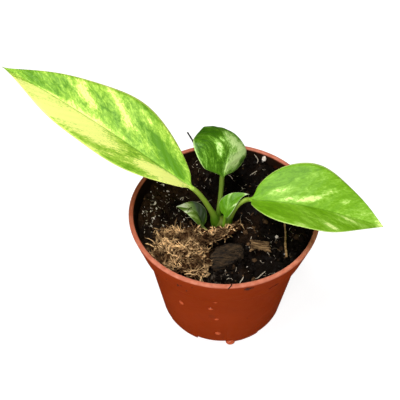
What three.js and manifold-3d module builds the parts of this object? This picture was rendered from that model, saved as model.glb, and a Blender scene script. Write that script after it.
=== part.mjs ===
// A young potted anthurium with variegated leaves in a low nursery pot.
// Millimetres, +Z up. The origin is on the table, under the middle of the pot.

import * as THREE from "three";
import { mergeVertices } from "three/addons/utils/BufferGeometryUtils.js";
import Module from "manifold-3d";

const wasm = await Module();
wasm.setup();

// Driving dimensions of the pot
const rimRadius = 45;
const potHeight = 68;
const lipWidth = 2.4;
const lipBevel = 0.4;
const collarHeight = 16.4;
const collarFootRadius = 40.5;
const bodyTopRadius = 38.1;
const baseRadius = 30.6;
const baseBevel = 2.6;
const wall = 1.3;
const floorThickness = 1.2;
const recessHeight = 4.2;
const footRingWidth = 4.5;
const notchCount = 6;
const notchWidth = 14.5;
const notchHeight = 4;
const firstNotchAngle = -98.5;
const centreDiscRadius = 8;
const drainHoleRadius = 2.4;
const drainHoleCircle = 16;
const drainHoleCount = 6;
const turns = 48;

// Driving dimensions of what the pot holds
const gap = 0.3;
const soilLevel = 62.6;
const soilSlope = 0.055;
const soilHeap = { at: [6, 38], height: 2.0, spread: 16 };
const soilEdgeDrop = 0.9;
const soilSag = { at: [-34, -6], depth: 1.6, spread: 9 };
const crownCentre = [-0.9, -5.6];
const crownSection = [[46, 1.6], [52, 2.6], [59, 4.2], [62.5, 4.6], [65.2, 4.2], [67.2, 3.2], [68.4, 1.8]];
const bladeThickness = 0.8;
const smallestHalfWidth = 0.3;

// Where the perlite grains lie, as x, y and radius
const perliteGrains = [
  [19.9, 38.0, 1.6],
  [-30.4, 18.9, 1.1],
  [-27.6, 14.4, 1.0],
  [-35.0, 15.4, 1.1],
  [-33.2, 7.9, 1.0],
  [-34.2, -0.7, 1.1],
  [-28.9, -4.9, 1.0],
  [24.8, -9.9, 1.2],
  [33.4, -10.7, 1.1],
];

// The leaves: midrib is a cubic Bezier from the end of the petiole to the tip. faceBase and faceTip say which way
// the upper face looks there. The fold lifts the left and right half, seen from above and looking to the tip, and
// the curl rolls them back down. The petiole's points run from its foot in the crown up to the blade.
const leaves = {
  leaf_long_left: {
    midrib: [[-14.2, -3.1, 85.3], [-43.0, 7.6, 100.8], [-68.7, 24.2, 107.9], [-106.3, 44.6, 114.0]],
    halfWidth: 21.4,
    baseFullness: 0.93,
    tipFullness: 1.17,
    faceBase: [0.02, 0.07, 1],
    faceTip: [0.12, 0.04, 0.99],
    fold: [19, 18],
    curl: 1,
    wave: 0.5,
    petiole: [[-3.1, -6.2, 60.5], [-4.2, -5.9, 68.3], [-5.4, -5.7, 72.2], [-8.9, -5.0, 79.3], [-11.7, -4.2, 83.3]],
    radii: [1.35, 1.15, 0.45],
    steps: [20, 6],
    stem: [20, 7],
    colour: "#8fcf52",
  },
  leaf_broad_right: {
    midrib: [[11.4, -2.6, 78.9], [32.1, -8.6, 85.4], [48.5, -8.3, 78.8], [72.1, -12.1, 74.0]],
    halfWidth: 20.4,
    baseFullness: 0.77,
    tipFullness: 1.09,
    faceBase: [0.07, -0.02, 1],
    faceTip: [0.04, -0.14, 0.99],
    fold: [25, 25],
    curl: 2,
    wave: 0.4,
    petiole: [[1.5, -5.9, 60.5], [1.9, -5.8, 67.8], [3.2, -5.6, 71.1], [5.7, -4.8, 76.6], [8.8, -3.8, 79.3]],
    radii: [1.3, 1.1, 0.45],
    steps: [16, 6],
    stem: [18, 7],
    colour: "#74b834",
  },
  leaf_round_back: {
    midrib: [[-1.5, 3.8, 86.8], [2.7, 11.5, 98.9], [-0.6, 22.6, 101.5], [-10.9, 30.9, 92.1]],
    halfWidth: 16.0,
    baseFullness: 0.34,
    tipFullness: 0.53,
    faceBase: [0.6, 0, 0.8],
    faceTip: [0.31, -0.12, 0.94],
    fold: [-4, -11],
    curl: 18,
    wave: 0.2,
    petiole: [[-1.7, -2.7, 60.5], [-2.8, -3.0, 65.7], [-2.6, -2.2, 70.5], [-2.1, -0.4, 75.5], [-1.7, 2.0, 81.1]],
    radii: [1.1, 0.95, 0.4],
    steps: [14, 6],
    stem: [16, 7],
    colour: "#5c9c2a",
  },
  leaf_young_centre: {
    midrib: [[0.5, -6.8, 71.4], [2.1, -5.4, 76.5], [4.9, -2.0, 81.6], [11.1, -2.4, 82.2]],
    halfWidth: 5.3,
    baseFullness: 0.63,
    tipFullness: 1.5,
    faceBase: [-0.56, -0.29, 0.78],
    faceTip: [0.01, -0.34, 0.94],
    fold: [31, 40],
    curl: 14,
    wave: 0,
    petiole: [[-0.5, -8.2, 60.5], [0.0, -8.3, 66.5]],
    radii: [1.0, 0.75, 0.3],
    steps: [12, 4],
    stem: [10, 6],
    colour: "#6fb43a",
  },
  leaf_young_low: {
    midrib: [[-9.9, -7.5, 64.4], [-12.4, -2.9, 72.2], [-15.3, -2.4, 71.4], [-22.6, -1.0, 70.6]],
    halfWidth: 4.4,
    baseFullness: 0.66,
    tipFullness: 1.1,
    faceBase: [0.28, -0.43, 0.86],
    faceTip: [-0.02, -0.48, 0.87],
    fold: [32, 22],
    curl: 10,
    wave: 0,
    petiole: [[-6.6, -8.4, 57.0], [-7.8, -8.3, 61.8]],
    radii: [0.9, 0.8, 0.35],
    steps: [11, 4],
    stem: [10, 6],
    colour: "#4c7f2a",
  },
};

// The torn coir: lumps as centre, half sizes and turn about Z in degrees
const coirLumps = [
  { centre: [-19.5, -25.0, 65.0], size: [12.6, 9.6, 4.4], turn: -12, detail: 3 },
  { centre: [-13.0, -30.5, 64.6], size: [6.6, 7.6, 3.4], turn: 10, detail: 2 },
  { centre: [-14.5, -16.8, 66.8], size: [11.5, 3.6, 3.4], turn: 4, detail: 3 },
  { centre: [-25.0, -16.0, 65.4], size: [5.0, 4.2, 3.0], turn: 20, detail: 2 },
  { centre: [-2.5, -13.4, 66.6], size: [6.5, 2.6, 2.1], turn: 12, detail: 2 },
  { centre: [4.2, -10.0, 66.8], size: [4.0, 1.7, 1.7], turn: 42, detail: 2 },
];
const coirFibreCount = 56;
const coirFibreLength = 6.5;
const coirFibreRadius = 0.38;
const coirSeed = 11;

// A repeatable stream of numbers between 0 and 1
function seededRandom(seed) {
  let state = seed >>> 0;
  return () => {
    state = (state + 0x6d2b79f5) >>> 0;
    let mixed = Math.imul(state ^ (state >>> 15), 1 | state);
    mixed = (mixed + Math.imul(mixed ^ (mixed >>> 7), 61 | mixed)) ^ mixed;
    return ((mixed ^ (mixed >>> 14)) >>> 0) / 4294967296;
  };
}

const vector = (point) => new THREE.Vector3(...point);
const radians = THREE.MathUtils.degToRad;

// From three.js geometry to a solid that can be cut and joined, and back
function solidFrom(geometry) {
  const bare = new THREE.BufferGeometry();
  bare.setAttribute("position", geometry.getAttribute("position"));
  bare.setIndex(geometry.getIndex());
  const merged = mergeVertices(bare, 1e-4);
  const vertProperties = Float32Array.from(merged.getAttribute("position").array);
  const triVerts = Uint32Array.from(merged.getIndex().array);
  return new wasm.Manifold(new wasm.Mesh({ numProp: 3, vertProperties, triVerts }));
}

function geometryFrom(solid) {
  const mesh = solid.getMesh();
  const geometry = new THREE.BufferGeometry();
  geometry.setAttribute("position", new THREE.BufferAttribute(Float32Array.from(mesh.vertProperties), 3));
  geometry.setIndex(new THREE.BufferAttribute(Uint32Array.from(mesh.triVerts), 1));
  geometry.computeVertexNormals();
  return geometry;
}

// Keeps the largest body of a solid, so that a loose scrap left by a cut is dropped
function largestBody(solid) {
  return solid.decompose().reduce((best, body) => (body.volume() > best.volume() ? body : best));
}

// A closed body through rings of points that all have the same count, with both ends closed by a fan
function skinRings(rings) {
  const count = rings[0].length;
  const points = rings.flat();
  const index = [];
  for (let ring = 0; ring < rings.length - 1; ring += 1) {
    for (let side = 0; side < count; side += 1) {
      const next = (side + 1) % count;
      const a = ring * count + side;
      const b = ring * count + next;
      index.push(a, b, b + count, a, b + count, a + count);
    }
  }
  const closeEnd = (ring, reversed) => {
    const middle = points.length;
    const sum = rings[ring].reduce((total, point) => total.add(point), new THREE.Vector3());
    points.push(sum.divideScalar(count));
    for (let side = 0; side < count; side += 1) {
      const a = ring * count + side;
      const b = ring * count + ((side + 1) % count);
      index.push(middle, ...(reversed ? [b, a] : [a, b]));
    }
  };
  closeEnd(0, true);
  closeEnd(rings.length - 1, false);
  const geometry = new THREE.BufferGeometry();
  geometry.setAttribute("position", new THREE.Float32BufferAttribute(points.flatMap((p) => p.toArray()), 3));
  geometry.setIndex(index);
  return geometry;
}

// A round stem along a smooth curve through the points, its radius given at each fraction of its length
function stem(points, radiusAt, steps, sides) {
  const curve = new THREE.CatmullRomCurve3(points.map(vector), false, "centripetal");
  const frames = curve.computeFrenetFrames(steps, false);
  const rings = [];
  for (let step = 0; step <= steps; step += 1) {
    const fraction = step / steps;
    const centre = curve.getPointAt(fraction);
    const radius = radiusAt(fraction);
    const ring = [];
    for (let side = 0; side < sides; side += 1) {
      const angle = (2 * Math.PI * side) / sides;
      const point = centre.clone();
      point.addScaledVector(frames.normals[step], radius * Math.cos(angle));
      point.addScaledVector(frames.binormals[step], radius * Math.sin(angle));
      ring.push(point);
    }
    rings.push(ring);
  }
  return skinRings(rings);
}

// A body turned about Z from radius and height pairs, standing upright
function turned(profile) {
  const points = profile.map(([radius, height]) => new THREE.Vector2(radius, height));
  return new THREE.LatheGeometry(points, turns).rotateX(Math.PI / 2);
}

// Pot

const collarFoot = potHeight - collarHeight;
const bodyTop = collarFoot - 1.2;
const innerFloor = recessHeight + floorThickness;
const footRingInner = baseRadius - baseBevel - footRingWidth;

// The inside of the pot as radius and height pairs from the floor up, moved inwards by a clearance
function innerProfile(clearance) {
  return [
    [baseRadius - wall - 1.2 - clearance, innerFloor + clearance],
    [baseRadius - wall - clearance, innerFloor + 1.4 + clearance],
    [bodyTopRadius - wall - clearance, bodyTop],
    [collarFootRadius - wall - clearance, collarFoot + 0.4],
    [rimRadius - lipWidth - clearance, potHeight - lipBevel],
  ];
}

function innerRadiusAt(height, clearance) {
  const profile = innerProfile(clearance);
  for (let step = 1; step < profile.length; step += 1) {
    const [lowRadius, low] = profile[step - 1];
    const [highRadius, high] = profile[step];
    if (height <= high) {
      return THREE.MathUtils.mapLinear(height, low, high, lowRadius, highRadius);
    }
  }
  return rimRadius - lipWidth - clearance;
}

// The pot stands on six feet, between notches that are cut through its foot ring as a way out for water
function makePot() {
  const outside = [
    [0, 0],
    [centreDiscRadius, 0],
    [centreDiscRadius + recessHeight, recessHeight],
    [footRingInner - recessHeight, recessHeight],
    [footRingInner, 0],
    [baseRadius - baseBevel, 0],
    [baseRadius - baseBevel * 0.35, baseBevel * 0.4],
    [baseRadius, baseBevel * 1.2],
    [bodyTopRadius, bodyTop],
    [collarFootRadius, collarFoot],
    [rimRadius, potHeight - lipBevel],
    [rimRadius - lipBevel, potHeight],
    [rimRadius - lipWidth + lipBevel, potHeight],
  ];
  const inside = innerProfile(0).reverse();
  let pot = solidFrom(turned([...outside, ...inside, [0, innerFloor]]));
  for (let hole = 0; hole < drainHoleCount; hole += 1) {
    const angle = (2 * Math.PI * hole) / drainHoleCount;
    const drill = new THREE.CylinderGeometry(drainHoleRadius, drainHoleRadius, 4 * innerFloor, 16);
    drill.rotateX(Math.PI / 2);
    drill.translate(drainHoleCircle * Math.cos(angle), drainHoleCircle * Math.sin(angle), 0);
    pot = pot.subtract(solidFrom(drill));
  }
  const notchDepth = baseRadius - footRingInner + 2 * recessHeight;
  for (let notch = 0; notch < notchCount; notch += 1) {
    const cutter = new THREE.BoxGeometry(notchDepth, notchWidth, 2 * notchHeight);
    cutter.translate(baseRadius, 0, 0);
    cutter.rotateZ(radians(firstNotchAngle + (360 * notch) / notchCount));
    pot = pot.subtract(solidFrom(cutter));
  }
  return pot;
}

// Soil

function bump(x, y, { at, spread }) {
  const [bumpX, bumpY] = at;
  return Math.exp(-((x - bumpX) ** 2 + (y - bumpY) ** 2) / (2 * spread ** 2));
}

// The height of the soil: uneven in lumps of one to two centimetres, and higher towards the back and its heap
function soilHeight(x, y) {
  const lumps = 0.7 * Math.sin(0.31 * x + 1.3) * Math.cos(0.27 * y - 0.4);
  const smallLumps = 0.45 * Math.sin(0.63 * x + 0.41 * y + 2.1) + 0.3 * Math.sin(0.9 * x - 0.77 * y);
  const heap = soilHeap.height * bump(x, y, soilHeap);
  const sag = soilSag.depth * bump(x, y, soilSag);
  return soilLevel + soilSlope * y + lumps + smallLumps + heap - sag;
}

// The soil fills the pot from its floor, with crumbs standing out of its surface, lifted by a clearance
function makeSoilBody(lift) {
  const random = seededRandom(5);
  const ringCount = 10;
  const crumbHeight = 1.1;
  const rings = innerProfile(gap).slice(0, 4).map(([radius, height]) => circle(radius, () => height));
  const topRadius = innerRadiusAt(soilLevel, gap);
  const edge = circle(topRadius, (x, y) => soilHeight(x, y) - soilEdgeDrop + lift);
  edge.forEach((point) => {
    const reach = innerRadiusAt(point.z, gap) / topRadius;
    point.set(point.x * reach, point.y * reach, point.z);
  });
  rings.push(edge);
  for (let ring = ringCount - 1; ring > 0; ring -= 1) {
    const crumb = () => (random() - 0.5) * crumbHeight + lift;
    rings.push(circle((topRadius * ring) / ringCount, (x, y) => soilHeight(x, y) + crumb()));
  }
  return solidFrom(skinRings(rings));
}

// A ring of points about the pot's axis, on the same corners as the pot
function circle(radius, heightAt) {
  const ring = [];
  for (let side = 0; side < turns; side += 1) {
    const angle = (2 * Math.PI * side) / turns;
    const x = radius * Math.sin(angle);
    const y = -radius * Math.cos(angle);
    ring.push(new THREE.Vector3(x, y, heightAt(x, y)));
  }
  return ring;
}

function makeGrain([x, y, radius]) {
  const grain = new THREE.IcosahedronGeometry(radius, 0);
  grain.translate(x, y, soilHeight(x, y) + 0.35 * radius);
  return solidFrom(grain);
}

// Crown

// The short stem that the leaves grow from, with its root end standing in the soil
function makeCrown(clearance) {
  const [x, y] = crownCentre;
  const sides = 16;
  const rings = crownSection.map(([height, radius], step) => {
    const end = step === 0 ? -clearance : clearance;
    const ring = [];
    for (let side = 0; side < sides; side += 1) {
      const angle = (2 * Math.PI * side) / sides;
      const uneven = 1 + 0.06 * Math.sin(3 * angle + height);
      const reach = radius * uneven + clearance;
      ring.push(new THREE.Vector3(x + reach * Math.cos(angle), y + reach * Math.sin(angle), height + end));
    }
    return ring;
  });
  return solidFrom(skinRings(rings));
}

// Leaves

// Half width of a blade at a fraction of its length, as a share of the greatest
function outline(fraction, { baseFullness, tipFullness }) {
  const widest = baseFullness / (baseFullness + tipFullness);
  return (fraction / widest) ** baseFullness * ((1 - fraction) / (1 - widest)) ** tipFullness;
}

// The place of the midrib with the blade's upward and rightward directions there
function bladeFrame(leaf, fraction) {
  const midrib = new THREE.CubicBezierCurve3(...leaf.midrib.map(vector));
  const along = midrib.getTangent(fraction);
  const up = vector(leaf.faceBase).lerp(vector(leaf.faceTip), fraction).normalize();
  up.addScaledVector(along, -up.dot(along)).normalize();
  const right = along.clone().cross(up);
  return { centre: midrib.getPoint(fraction), up, right };
}

// A point of the blade's middle surface: across runs from -1 at the left margin to 1 at the right one
function bladePoint(leaf, fraction, across, clearance) {
  const { centre, up, right } = bladeFrame(leaf, fraction);
  const halfWidth = Math.max(leaf.halfWidth * outline(fraction, leaf), smallestHalfWidth) + clearance;
  const reach = Math.abs(across);
  const fold = radians(leaf.fold[across > 0 ? 1 : 0]);
  const curl = radians(leaf.curl);
  const sideways = (Math.sin(fold) - Math.sin(fold - curl * reach)) / curl;
  const rise = (Math.cos(fold - curl * reach) - Math.cos(fold)) / curl;
  const ripple = leaf.wave * reach ** 2 * Math.sin(5 * Math.PI * fraction + (across > 0 ? 1.2 : 0));
  centre.addScaledVector(right, halfWidth * sideways * Math.sign(across));
  centre.addScaledVector(up, halfWidth * rise + ripple);
  return { point: centre, up };
}

// The blade as a thin body whose two faces are split into triangles alike
function makeBlade(leaf, clearance) {
  const half = bladeThickness / 2 + clearance;
  const [lengthSteps, acrossSteps] = leaf.steps;
  const row = acrossSteps + 1;
  const upper = [];
  const lower = [];
  for (let step = 0; step <= lengthSteps; step += 1) {
    for (let column = 0; column <= acrossSteps; column += 1) {
      const { point, up } = bladePoint(leaf, step / lengthSteps, (2 * column) / acrossSteps - 1, clearance);
      upper.push(point.clone().addScaledVector(up, half));
      lower.push(point.clone().addScaledVector(up, -half));
    }
  }
  const under = upper.length;
  const index = [];
  for (let step = 0; step < lengthSteps; step += 1) {
    for (let column = 0; column < acrossSteps; column += 1) {
      const a = step * row + column;
      const b = a + 1;
      const c = a + row;
      const d = c + 1;
      index.push(a, b, d, a, d, c);
      index.push(b + under, a + under, d + under, d + under, a + under, c + under);
    }
  }
  const columns = [...Array(acrossSteps).keys()];
  const steps = [...Array(lengthSteps).keys()];
  const border = [
    ...columns,
    ...steps.map((step) => step * row + acrossSteps),
    ...columns.map((column) => lengthSteps * row + acrossSteps - column),
    ...steps.map((step) => (lengthSteps - step) * row),
  ];
  border.forEach((a, place) => {
    const b = border[(place + 1) % border.length];
    index.push(a, a + under, b + under, a, b + under, b);
  });
  const geometry = new THREE.BufferGeometry();
  const points = [...upper, ...lower].flatMap((point) => point.toArray());
  geometry.setAttribute("position", new THREE.Float32BufferAttribute(points, 3));
  geometry.setIndex(index);
  return solidFrom(geometry);
}

// The petiole, which runs on under the blade as its midrib and fades out towards the tip
function makePetiole(leaf, clearance) {
  const [footRadius, neckRadius, endRadius] = leaf.radii;
  const ribFractions = [0, 0.12, 0.26, 0.42, 0.6, 0.78];
  const ribEnd = ribFractions.at(-1);
  const ribPoints = ribFractions.map((fraction) => {
    const { centre, up } = bladeFrame(leaf, fraction);
    const radius = THREE.MathUtils.lerp(neckRadius, endRadius, fraction / ribEnd);
    return centre.addScaledVector(up, -0.2 - 0.6 * radius).toArray();
  });
  const points = [...leaf.petiole, ...ribPoints];
  const curve = new THREE.CatmullRomCurve3(points.map(vector), false, "centripetal");
  const neckLength = lengthFractionAt(curve, leaf.petiole.length / (points.length - 1));
  const radiusAt = (fraction) => {
    const radius = fraction < neckLength
      ? THREE.MathUtils.mapLinear(fraction, 0, neckLength, footRadius, neckRadius)
      : THREE.MathUtils.mapLinear(fraction, neckLength, 1, neckRadius, endRadius);
    return radius + clearance;
  };
  return solidFrom(stem(points, radiusAt, ...leaf.stem));
}

// The share of a curve's length that lies before one of its parameters
function lengthFractionAt(curve, parameter) {
  const samples = 200;
  const lengths = curve.getLengths(samples);
  return lengths[Math.round(parameter * samples)] / lengths[samples];
}

function makeLeaf(leaf, clearance) {
  return makeBlade(leaf, clearance).add(makePetiole(leaf, clearance));
}

// Coir

function makeLump({ centre, size, turn, detail }) {
  const geometry = mergeVertices(bareIcosahedron(detail), 1e-4);
  const position = geometry.getAttribute("position");
  for (let at = 0; at < position.count; at += 1) {
    const point = new THREE.Vector3().fromBufferAttribute(position, at);
    const [x, y, z] = point.toArray();
    const rough = 1 + 0.09 * Math.sin(5.1 * x + 3 * z + size[0]) + 0.08 * Math.sin(6.3 * y - 4.4 * x + size[1]);
    point.multiplyScalar(rough);
    position.setXYZ(at, point.x * size[0], point.y * size[1], point.z * size[2]);
  }
  geometry.rotateZ(radians(turn));
  geometry.translate(...centre);
  return solidFrom(geometry);
}

function bareIcosahedron(detail) {
  const geometry = new THREE.IcosahedronGeometry(1, detail);
  geometry.deleteAttribute("normal");
  geometry.deleteAttribute("uv");
  return geometry;
}

// A tapered three-sided fibre that grows out of a lump's upper side and leans along its surface
function makeFibre(lump, random) {
  const around = 2 * Math.PI * random();
  const lift = 0.15 + 0.75 * random();
  const flat = Math.sqrt(1 - lift ** 2);
  const outward = new THREE.Vector3(flat * Math.cos(around), flat * Math.sin(around), lift);
  const place = outward.clone().multiply(vector(lump.size)).multiplyScalar(0.86);
  const turn = new THREE.Euler(0, 0, radians(lump.turn));
  place.applyEuler(turn).add(vector(lump.centre));
  const lean = new THREE.Vector3(random() - 0.5, random() - 0.5, 0.35 * (random() - 0.3));
  const direction = outward.applyEuler(turn).multiplyScalar(0.55).add(lean).normalize();
  const length = coirFibreLength * (0.6 + 0.7 * random());
  const geometry = new THREE.CylinderGeometry(0.45 * coirFibreRadius, coirFibreRadius, length, 3);
  geometry.translate(0, length / 2 - 1, 0);
  geometry.applyQuaternion(new THREE.Quaternion().setFromUnitVectors(new THREE.Vector3(0, 1, 0), direction));
  geometry.translate(...place.toArray());
  return solidFrom(geometry);
}

// Room for what lies on the soil: the inside of the pot and the air above it, clear of the pot and of the soil
function makeRoomAboveSoil(soil) {
  const bottom = soilLevel - 20;
  const top = potHeight + 12;
  const clear = 3 * gap;
  const bodyRadius = innerRadiusAt(bodyTop, clear);
  const lipRadius = innerRadiusAt(potHeight, clear);
  const profile = [
    [0, bottom],
    [bodyRadius, bottom],
    ...innerProfile(clear).slice(2),
    [lipRadius, potHeight],
    [lipRadius, top],
    [0, top],
  ];
  return solidFrom(turned(profile)).subtract(soil);
}

function makeCoir(room, stems) {
  const random = seededRandom(coirSeed);
  const pieces = coirLumps.map(makeLump);
  for (let fibre = 0; fibre < coirFibreCount; fibre += 1) {
    const lump = coirLumps[fibre % coirLumps.length];
    pieces.push(makeFibre(lump, random));
  }
  const clump = wasm.Manifold.union(pieces);
  return largestBody(clump.intersect(room).subtract(stems));
}

// Bark and twigs

// A dark chunk of bark with its long side split into steps
const barkChunk = { centre: [1.6, -24.2, 63.4], size: [9.4, 5.6, 3.5], turn: 38, seed: 23 };

function makeBarkChunk(room, coir) {
  const { centre, size, turn, seed } = barkChunk;
  const random = seededRandom(seed);
  const geometry = mergeVertices(bareIcosahedron(2), 1e-4);
  const position = geometry.getAttribute("position");
  for (let at = 0; at < position.count; at += 1) {
    const point = new THREE.Vector3().fromBufferAttribute(position, at);
    const ridge = 1 + 0.16 * Math.sin(7 * point.y + 1.5 * point.x) + 0.08 * (random() - 0.5);
    position.setXYZ(at, point.x * size[0] * ridge, point.y * size[1], point.z * size[2] * ridge);
  }
  geometry.rotateZ(radians(turn));
  geometry.translate(...centre);
  return largestBody(solidFrom(geometry).intersect(room).subtract(coir));
}

// A small flake of bark with a torn edge, lying askew on the soil
const barkFlake = {
  torn: [[-4.4, -4.6], [-2.0, -1.7], [1.2, -2.5], [4.6, -4.2], [3.6, -0.3], [4.1, 3.0], [0.7, 3.8], [-4.3, 2.8]],
  thickness: 0.9,
  centre: [17.0, -18.0, 64.0],
  tilt: [-10, 8],
};

function makeBarkFlake() {
  const { torn, thickness, centre, tilt } = barkFlake;
  const shape = new THREE.Shape(torn.map(([x, y]) => new THREE.Vector2(x, y)));
  const geometry = new THREE.ExtrudeGeometry(shape, { depth: thickness, bevelEnabled: false });
  geometry.rotateY(radians(tilt[1]));
  geometry.rotateX(radians(tilt[0]));
  geometry.translate(...centre);
  return solidFrom(geometry);
}

const twigs = {
  twig_right: {
    points: [[28.4, -3.9, 64.2], [28.7, -10.0, 63.8], [28.5, -16.5, 63.8], [28.9, -23.3, 63.6]],
    radii: [0.62, 0.5],
    steps: 8,
    colour: "#a9814f",
  },
  twig_back: {
    points: [[-8.6, 31.6, 60.0], [-12.4, 35.4, 68.0], [-16.4, 38.3, 75.0], [-19.3, 39.6, 80.0]],
    radii: [0.45, 0.3],
    steps: 10,
    colour: "#4a4a46",
  },
};

function makeTwig({ points, radii, steps }, clearance) {
  const radiusAt = (fraction) => THREE.MathUtils.lerp(...radii, fraction) + clearance;
  return solidFrom(stem(points, radiusAt, steps, 6));
}

// Putting the object together

const plant = new THREE.Group();

function addPart(name, solid, colour, roughness) {
  const material = new THREE.MeshStandardMaterial({ color: colour, roughness, metalness: 0 });
  const mesh = new THREE.Mesh(geometryFrom(solid), material);
  mesh.name = name;
  plant.add(mesh);
}

const leafNames = Object.keys(leaves);
const leafRooms = wasm.Manifold.union(leafNames.map((name) => makeLeaf(leaves[name], gap)));
const crownRoom = makeCrown(gap);
const twigRooms = wasm.Manifold.union(Object.values(twigs).map((twig) => makeTwig(twig, gap)));
const grains = perliteGrains.map(makeGrain);

const roomAboveSoil = makeRoomAboveSoil(makeSoilBody(gap));
const coir = makeCoir(roomAboveSoil, wasm.Manifold.union([crownRoom, leafRooms]));
const roomOfCoir = wasm.Manifold.union([coir, coir.translate([gap, -gap, 0]), coir.translate([gap, gap, 0])]);
const chunk = makeBarkChunk(roomAboveSoil, roomOfCoir);
const soilWithGrains = wasm.Manifold.union([makeSoilBody(0), ...grains]);
const soil = largestBody(soilWithGrains.subtract(crownRoom).subtract(leafRooms).subtract(twigRooms));

addPart("pot", makePot(), "#9c4421", 0.5);
addPart("soil", soil, "#1e150e", 0.95);
addPart("coir_plug", coir, "#a98350", 0.9);
addPart("bark_chunk", chunk, "#3a2617", 0.9);
addPart("bark_flake", makeBarkFlake(), "#9a734a", 0.85);
Object.entries(twigs).forEach(([name, twig]) => {
  addPart(name, makeTwig(twig, 0), twig.colour, 0.8);
});
addPart("crown", largestBody(makeCrown(0).subtract(leafRooms)), "#6f8a2c", 0.6);
leafNames.forEach((name) => {
  const leaf = leaves[name];
  addPart(name, makeLeaf(leaf, 0), leaf.colour, 0.4);
});

export default plant;
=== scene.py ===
import math
import random

import bpy
import numpy as np
from mathutils import Matrix, Vector, noise


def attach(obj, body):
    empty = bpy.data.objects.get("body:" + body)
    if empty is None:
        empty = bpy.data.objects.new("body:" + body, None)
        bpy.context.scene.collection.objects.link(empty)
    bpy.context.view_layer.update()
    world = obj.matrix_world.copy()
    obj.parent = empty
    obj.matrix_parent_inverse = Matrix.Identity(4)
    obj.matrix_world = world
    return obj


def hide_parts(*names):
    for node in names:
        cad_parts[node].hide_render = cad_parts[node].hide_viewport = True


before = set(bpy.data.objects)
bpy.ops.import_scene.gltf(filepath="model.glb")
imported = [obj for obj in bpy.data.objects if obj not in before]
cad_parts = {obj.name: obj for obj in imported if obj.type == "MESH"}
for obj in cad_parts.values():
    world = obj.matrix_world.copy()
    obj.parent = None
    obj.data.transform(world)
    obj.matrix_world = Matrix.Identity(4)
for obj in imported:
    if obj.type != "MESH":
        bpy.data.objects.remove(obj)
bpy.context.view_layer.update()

# Everything below is sized in millimetres and turned to metres by this.
MM = 0.001


# The nursery pot.
# A low 9 cm pot of thin polypropylene with a flared collar, a wide lip and a notched foot, injection moulded
# in one piece. It is drawn up ring by ring, drilled and notched as its mould leaves it, and rounded at edges.

pot_height = 68.0
collar_foot_radius = 40.5
body_top = 50.4
body_top_radius = 38.1
base_radius = 30.6
base_edge = 3.1
inner_floor = 5.4
recess = 4.2
pot_segments = 144

pot_outside = [
    (12.2, recess), (19.3, recess), (23.5, 0.0), (28.0, 0.0), (29.7, 1.0), (base_radius, base_edge),
    (34.6, 27.9), (body_top_radius, body_top), (38.9, 50.8), (collar_foot_radius - 0.2, 51.4),
    (collar_foot_radius, 52.0), (43.1, 61.0), (44.9, 67.4), (44.6, 67.9), (44.0, pot_height),
]
pot_inside = [
    (43.2, pot_height), (42.8, 67.8), (42.6, 67.3), (41.2, 61.0), (39.2, 52.0), (36.8, body_top),
    (33.2, 27.9), (29.3, 6.8), (28.1, 5.5), (14.0, inner_floor),
]


def select_only(piece):
    bpy.ops.object.select_all(action="DESELECT")
    piece.select_set(True)
    bpy.context.view_layer.objects.active = piece


def added(operator, **settings):
    """Adds a primitive, a light or the camera with nothing else selected, and returns it."""
    bpy.ops.object.select_all(action="DESELECT")
    operator(**settings)
    return bpy.context.object


def apply_modifier(piece, kind, **settings):
    select_only(piece)
    modifier = piece.modifiers.new(kind.lower(), kind)
    for name, value in settings.items():
        setattr(modifier, name, value)
    bpy.ops.object.modifier_apply(modifier=modifier.name)


def cut_away(piece, cutter):
    apply_modifier(piece, "BOOLEAN", object=cutter, operation="DIFFERENCE", solver="EXACT")
    bpy.data.objects.remove(cutter)


def face_outwards(piece):
    select_only(piece)
    bpy.ops.object.mode_set(mode="EDIT")
    bpy.ops.mesh.select_all(action="SELECT")
    bpy.ops.mesh.normals_make_consistent(inside=False)
    bpy.ops.object.mode_set(mode="OBJECT")


def turn_up(name, first_radius, rings, segments):
    """A filled disc at the height of the table, extruded ring by ring up a profile and closed at its end."""
    piece = added(bpy.ops.mesh.primitive_circle_add, vertices=segments, radius=first_radius * MM,
                  fill_type="NGON")
    piece.name = name
    bpy.ops.object.mode_set(mode="EDIT")
    radius, height = first_radius, 0.0
    for next_radius, next_height in rings:
        rise = (0, 0, (next_height - height) * MM)
        bpy.ops.mesh.extrude_region_move(TRANSFORM_OT_translate={"value": rise})
        share = next_radius / radius
        bpy.ops.transform.resize(value=(share, share, 1), center_override=(0, 0, next_height * MM))
        radius, height = next_radius, next_height
    bpy.ops.object.mode_set(mode="OBJECT")
    face_outwards(piece)
    return piece


# The disc at the middle of the floor reaches down to the table, and the rest of the floor is raised.
middle_disc_radius = 8.0
pot = turn_up("nursery_pot", middle_disc_radius, pot_outside + pot_inside, pot_segments)

drill_depth = 12.0
drain_hole_radius = 2.4
drain_hole_circle = 16.0
drain_hole_count = 6
for hole in range(drain_hole_count):
    turn = 2 * math.pi * hole / drain_hole_count
    place = (drain_hole_circle * MM * math.cos(turn), drain_hole_circle * MM * math.sin(turn), 0)
    cut_away(pot, added(bpy.ops.mesh.primitive_cylinder_add, vertices=32, radius=drain_hole_radius * MM,
                        depth=drill_depth * MM, location=place))
notch_depth = 15.5
notch_width = 14.5
notch_height = 4.0
notch_count = 6
first_notch_angle = -98.5
for notch in range(notch_count):
    turn = math.radians(first_notch_angle + 360 * notch / notch_count)
    place = (base_radius * MM * math.cos(turn), base_radius * MM * math.sin(turn), 0)
    cut_away(pot, added(bpy.ops.mesh.primitive_cube_add, size=1, location=place, rotation=(0, 0, turn),
                        scale=(notch_depth * MM, notch_width * MM, 2 * notch_height * MM)))
edge_rounding = 0.25
apply_modifier(pot, "BEVEL", width=edge_rounding * MM, segments=2, limit_method="ANGLE",
               angle_limit=math.radians(28))
select_only(pot)
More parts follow.
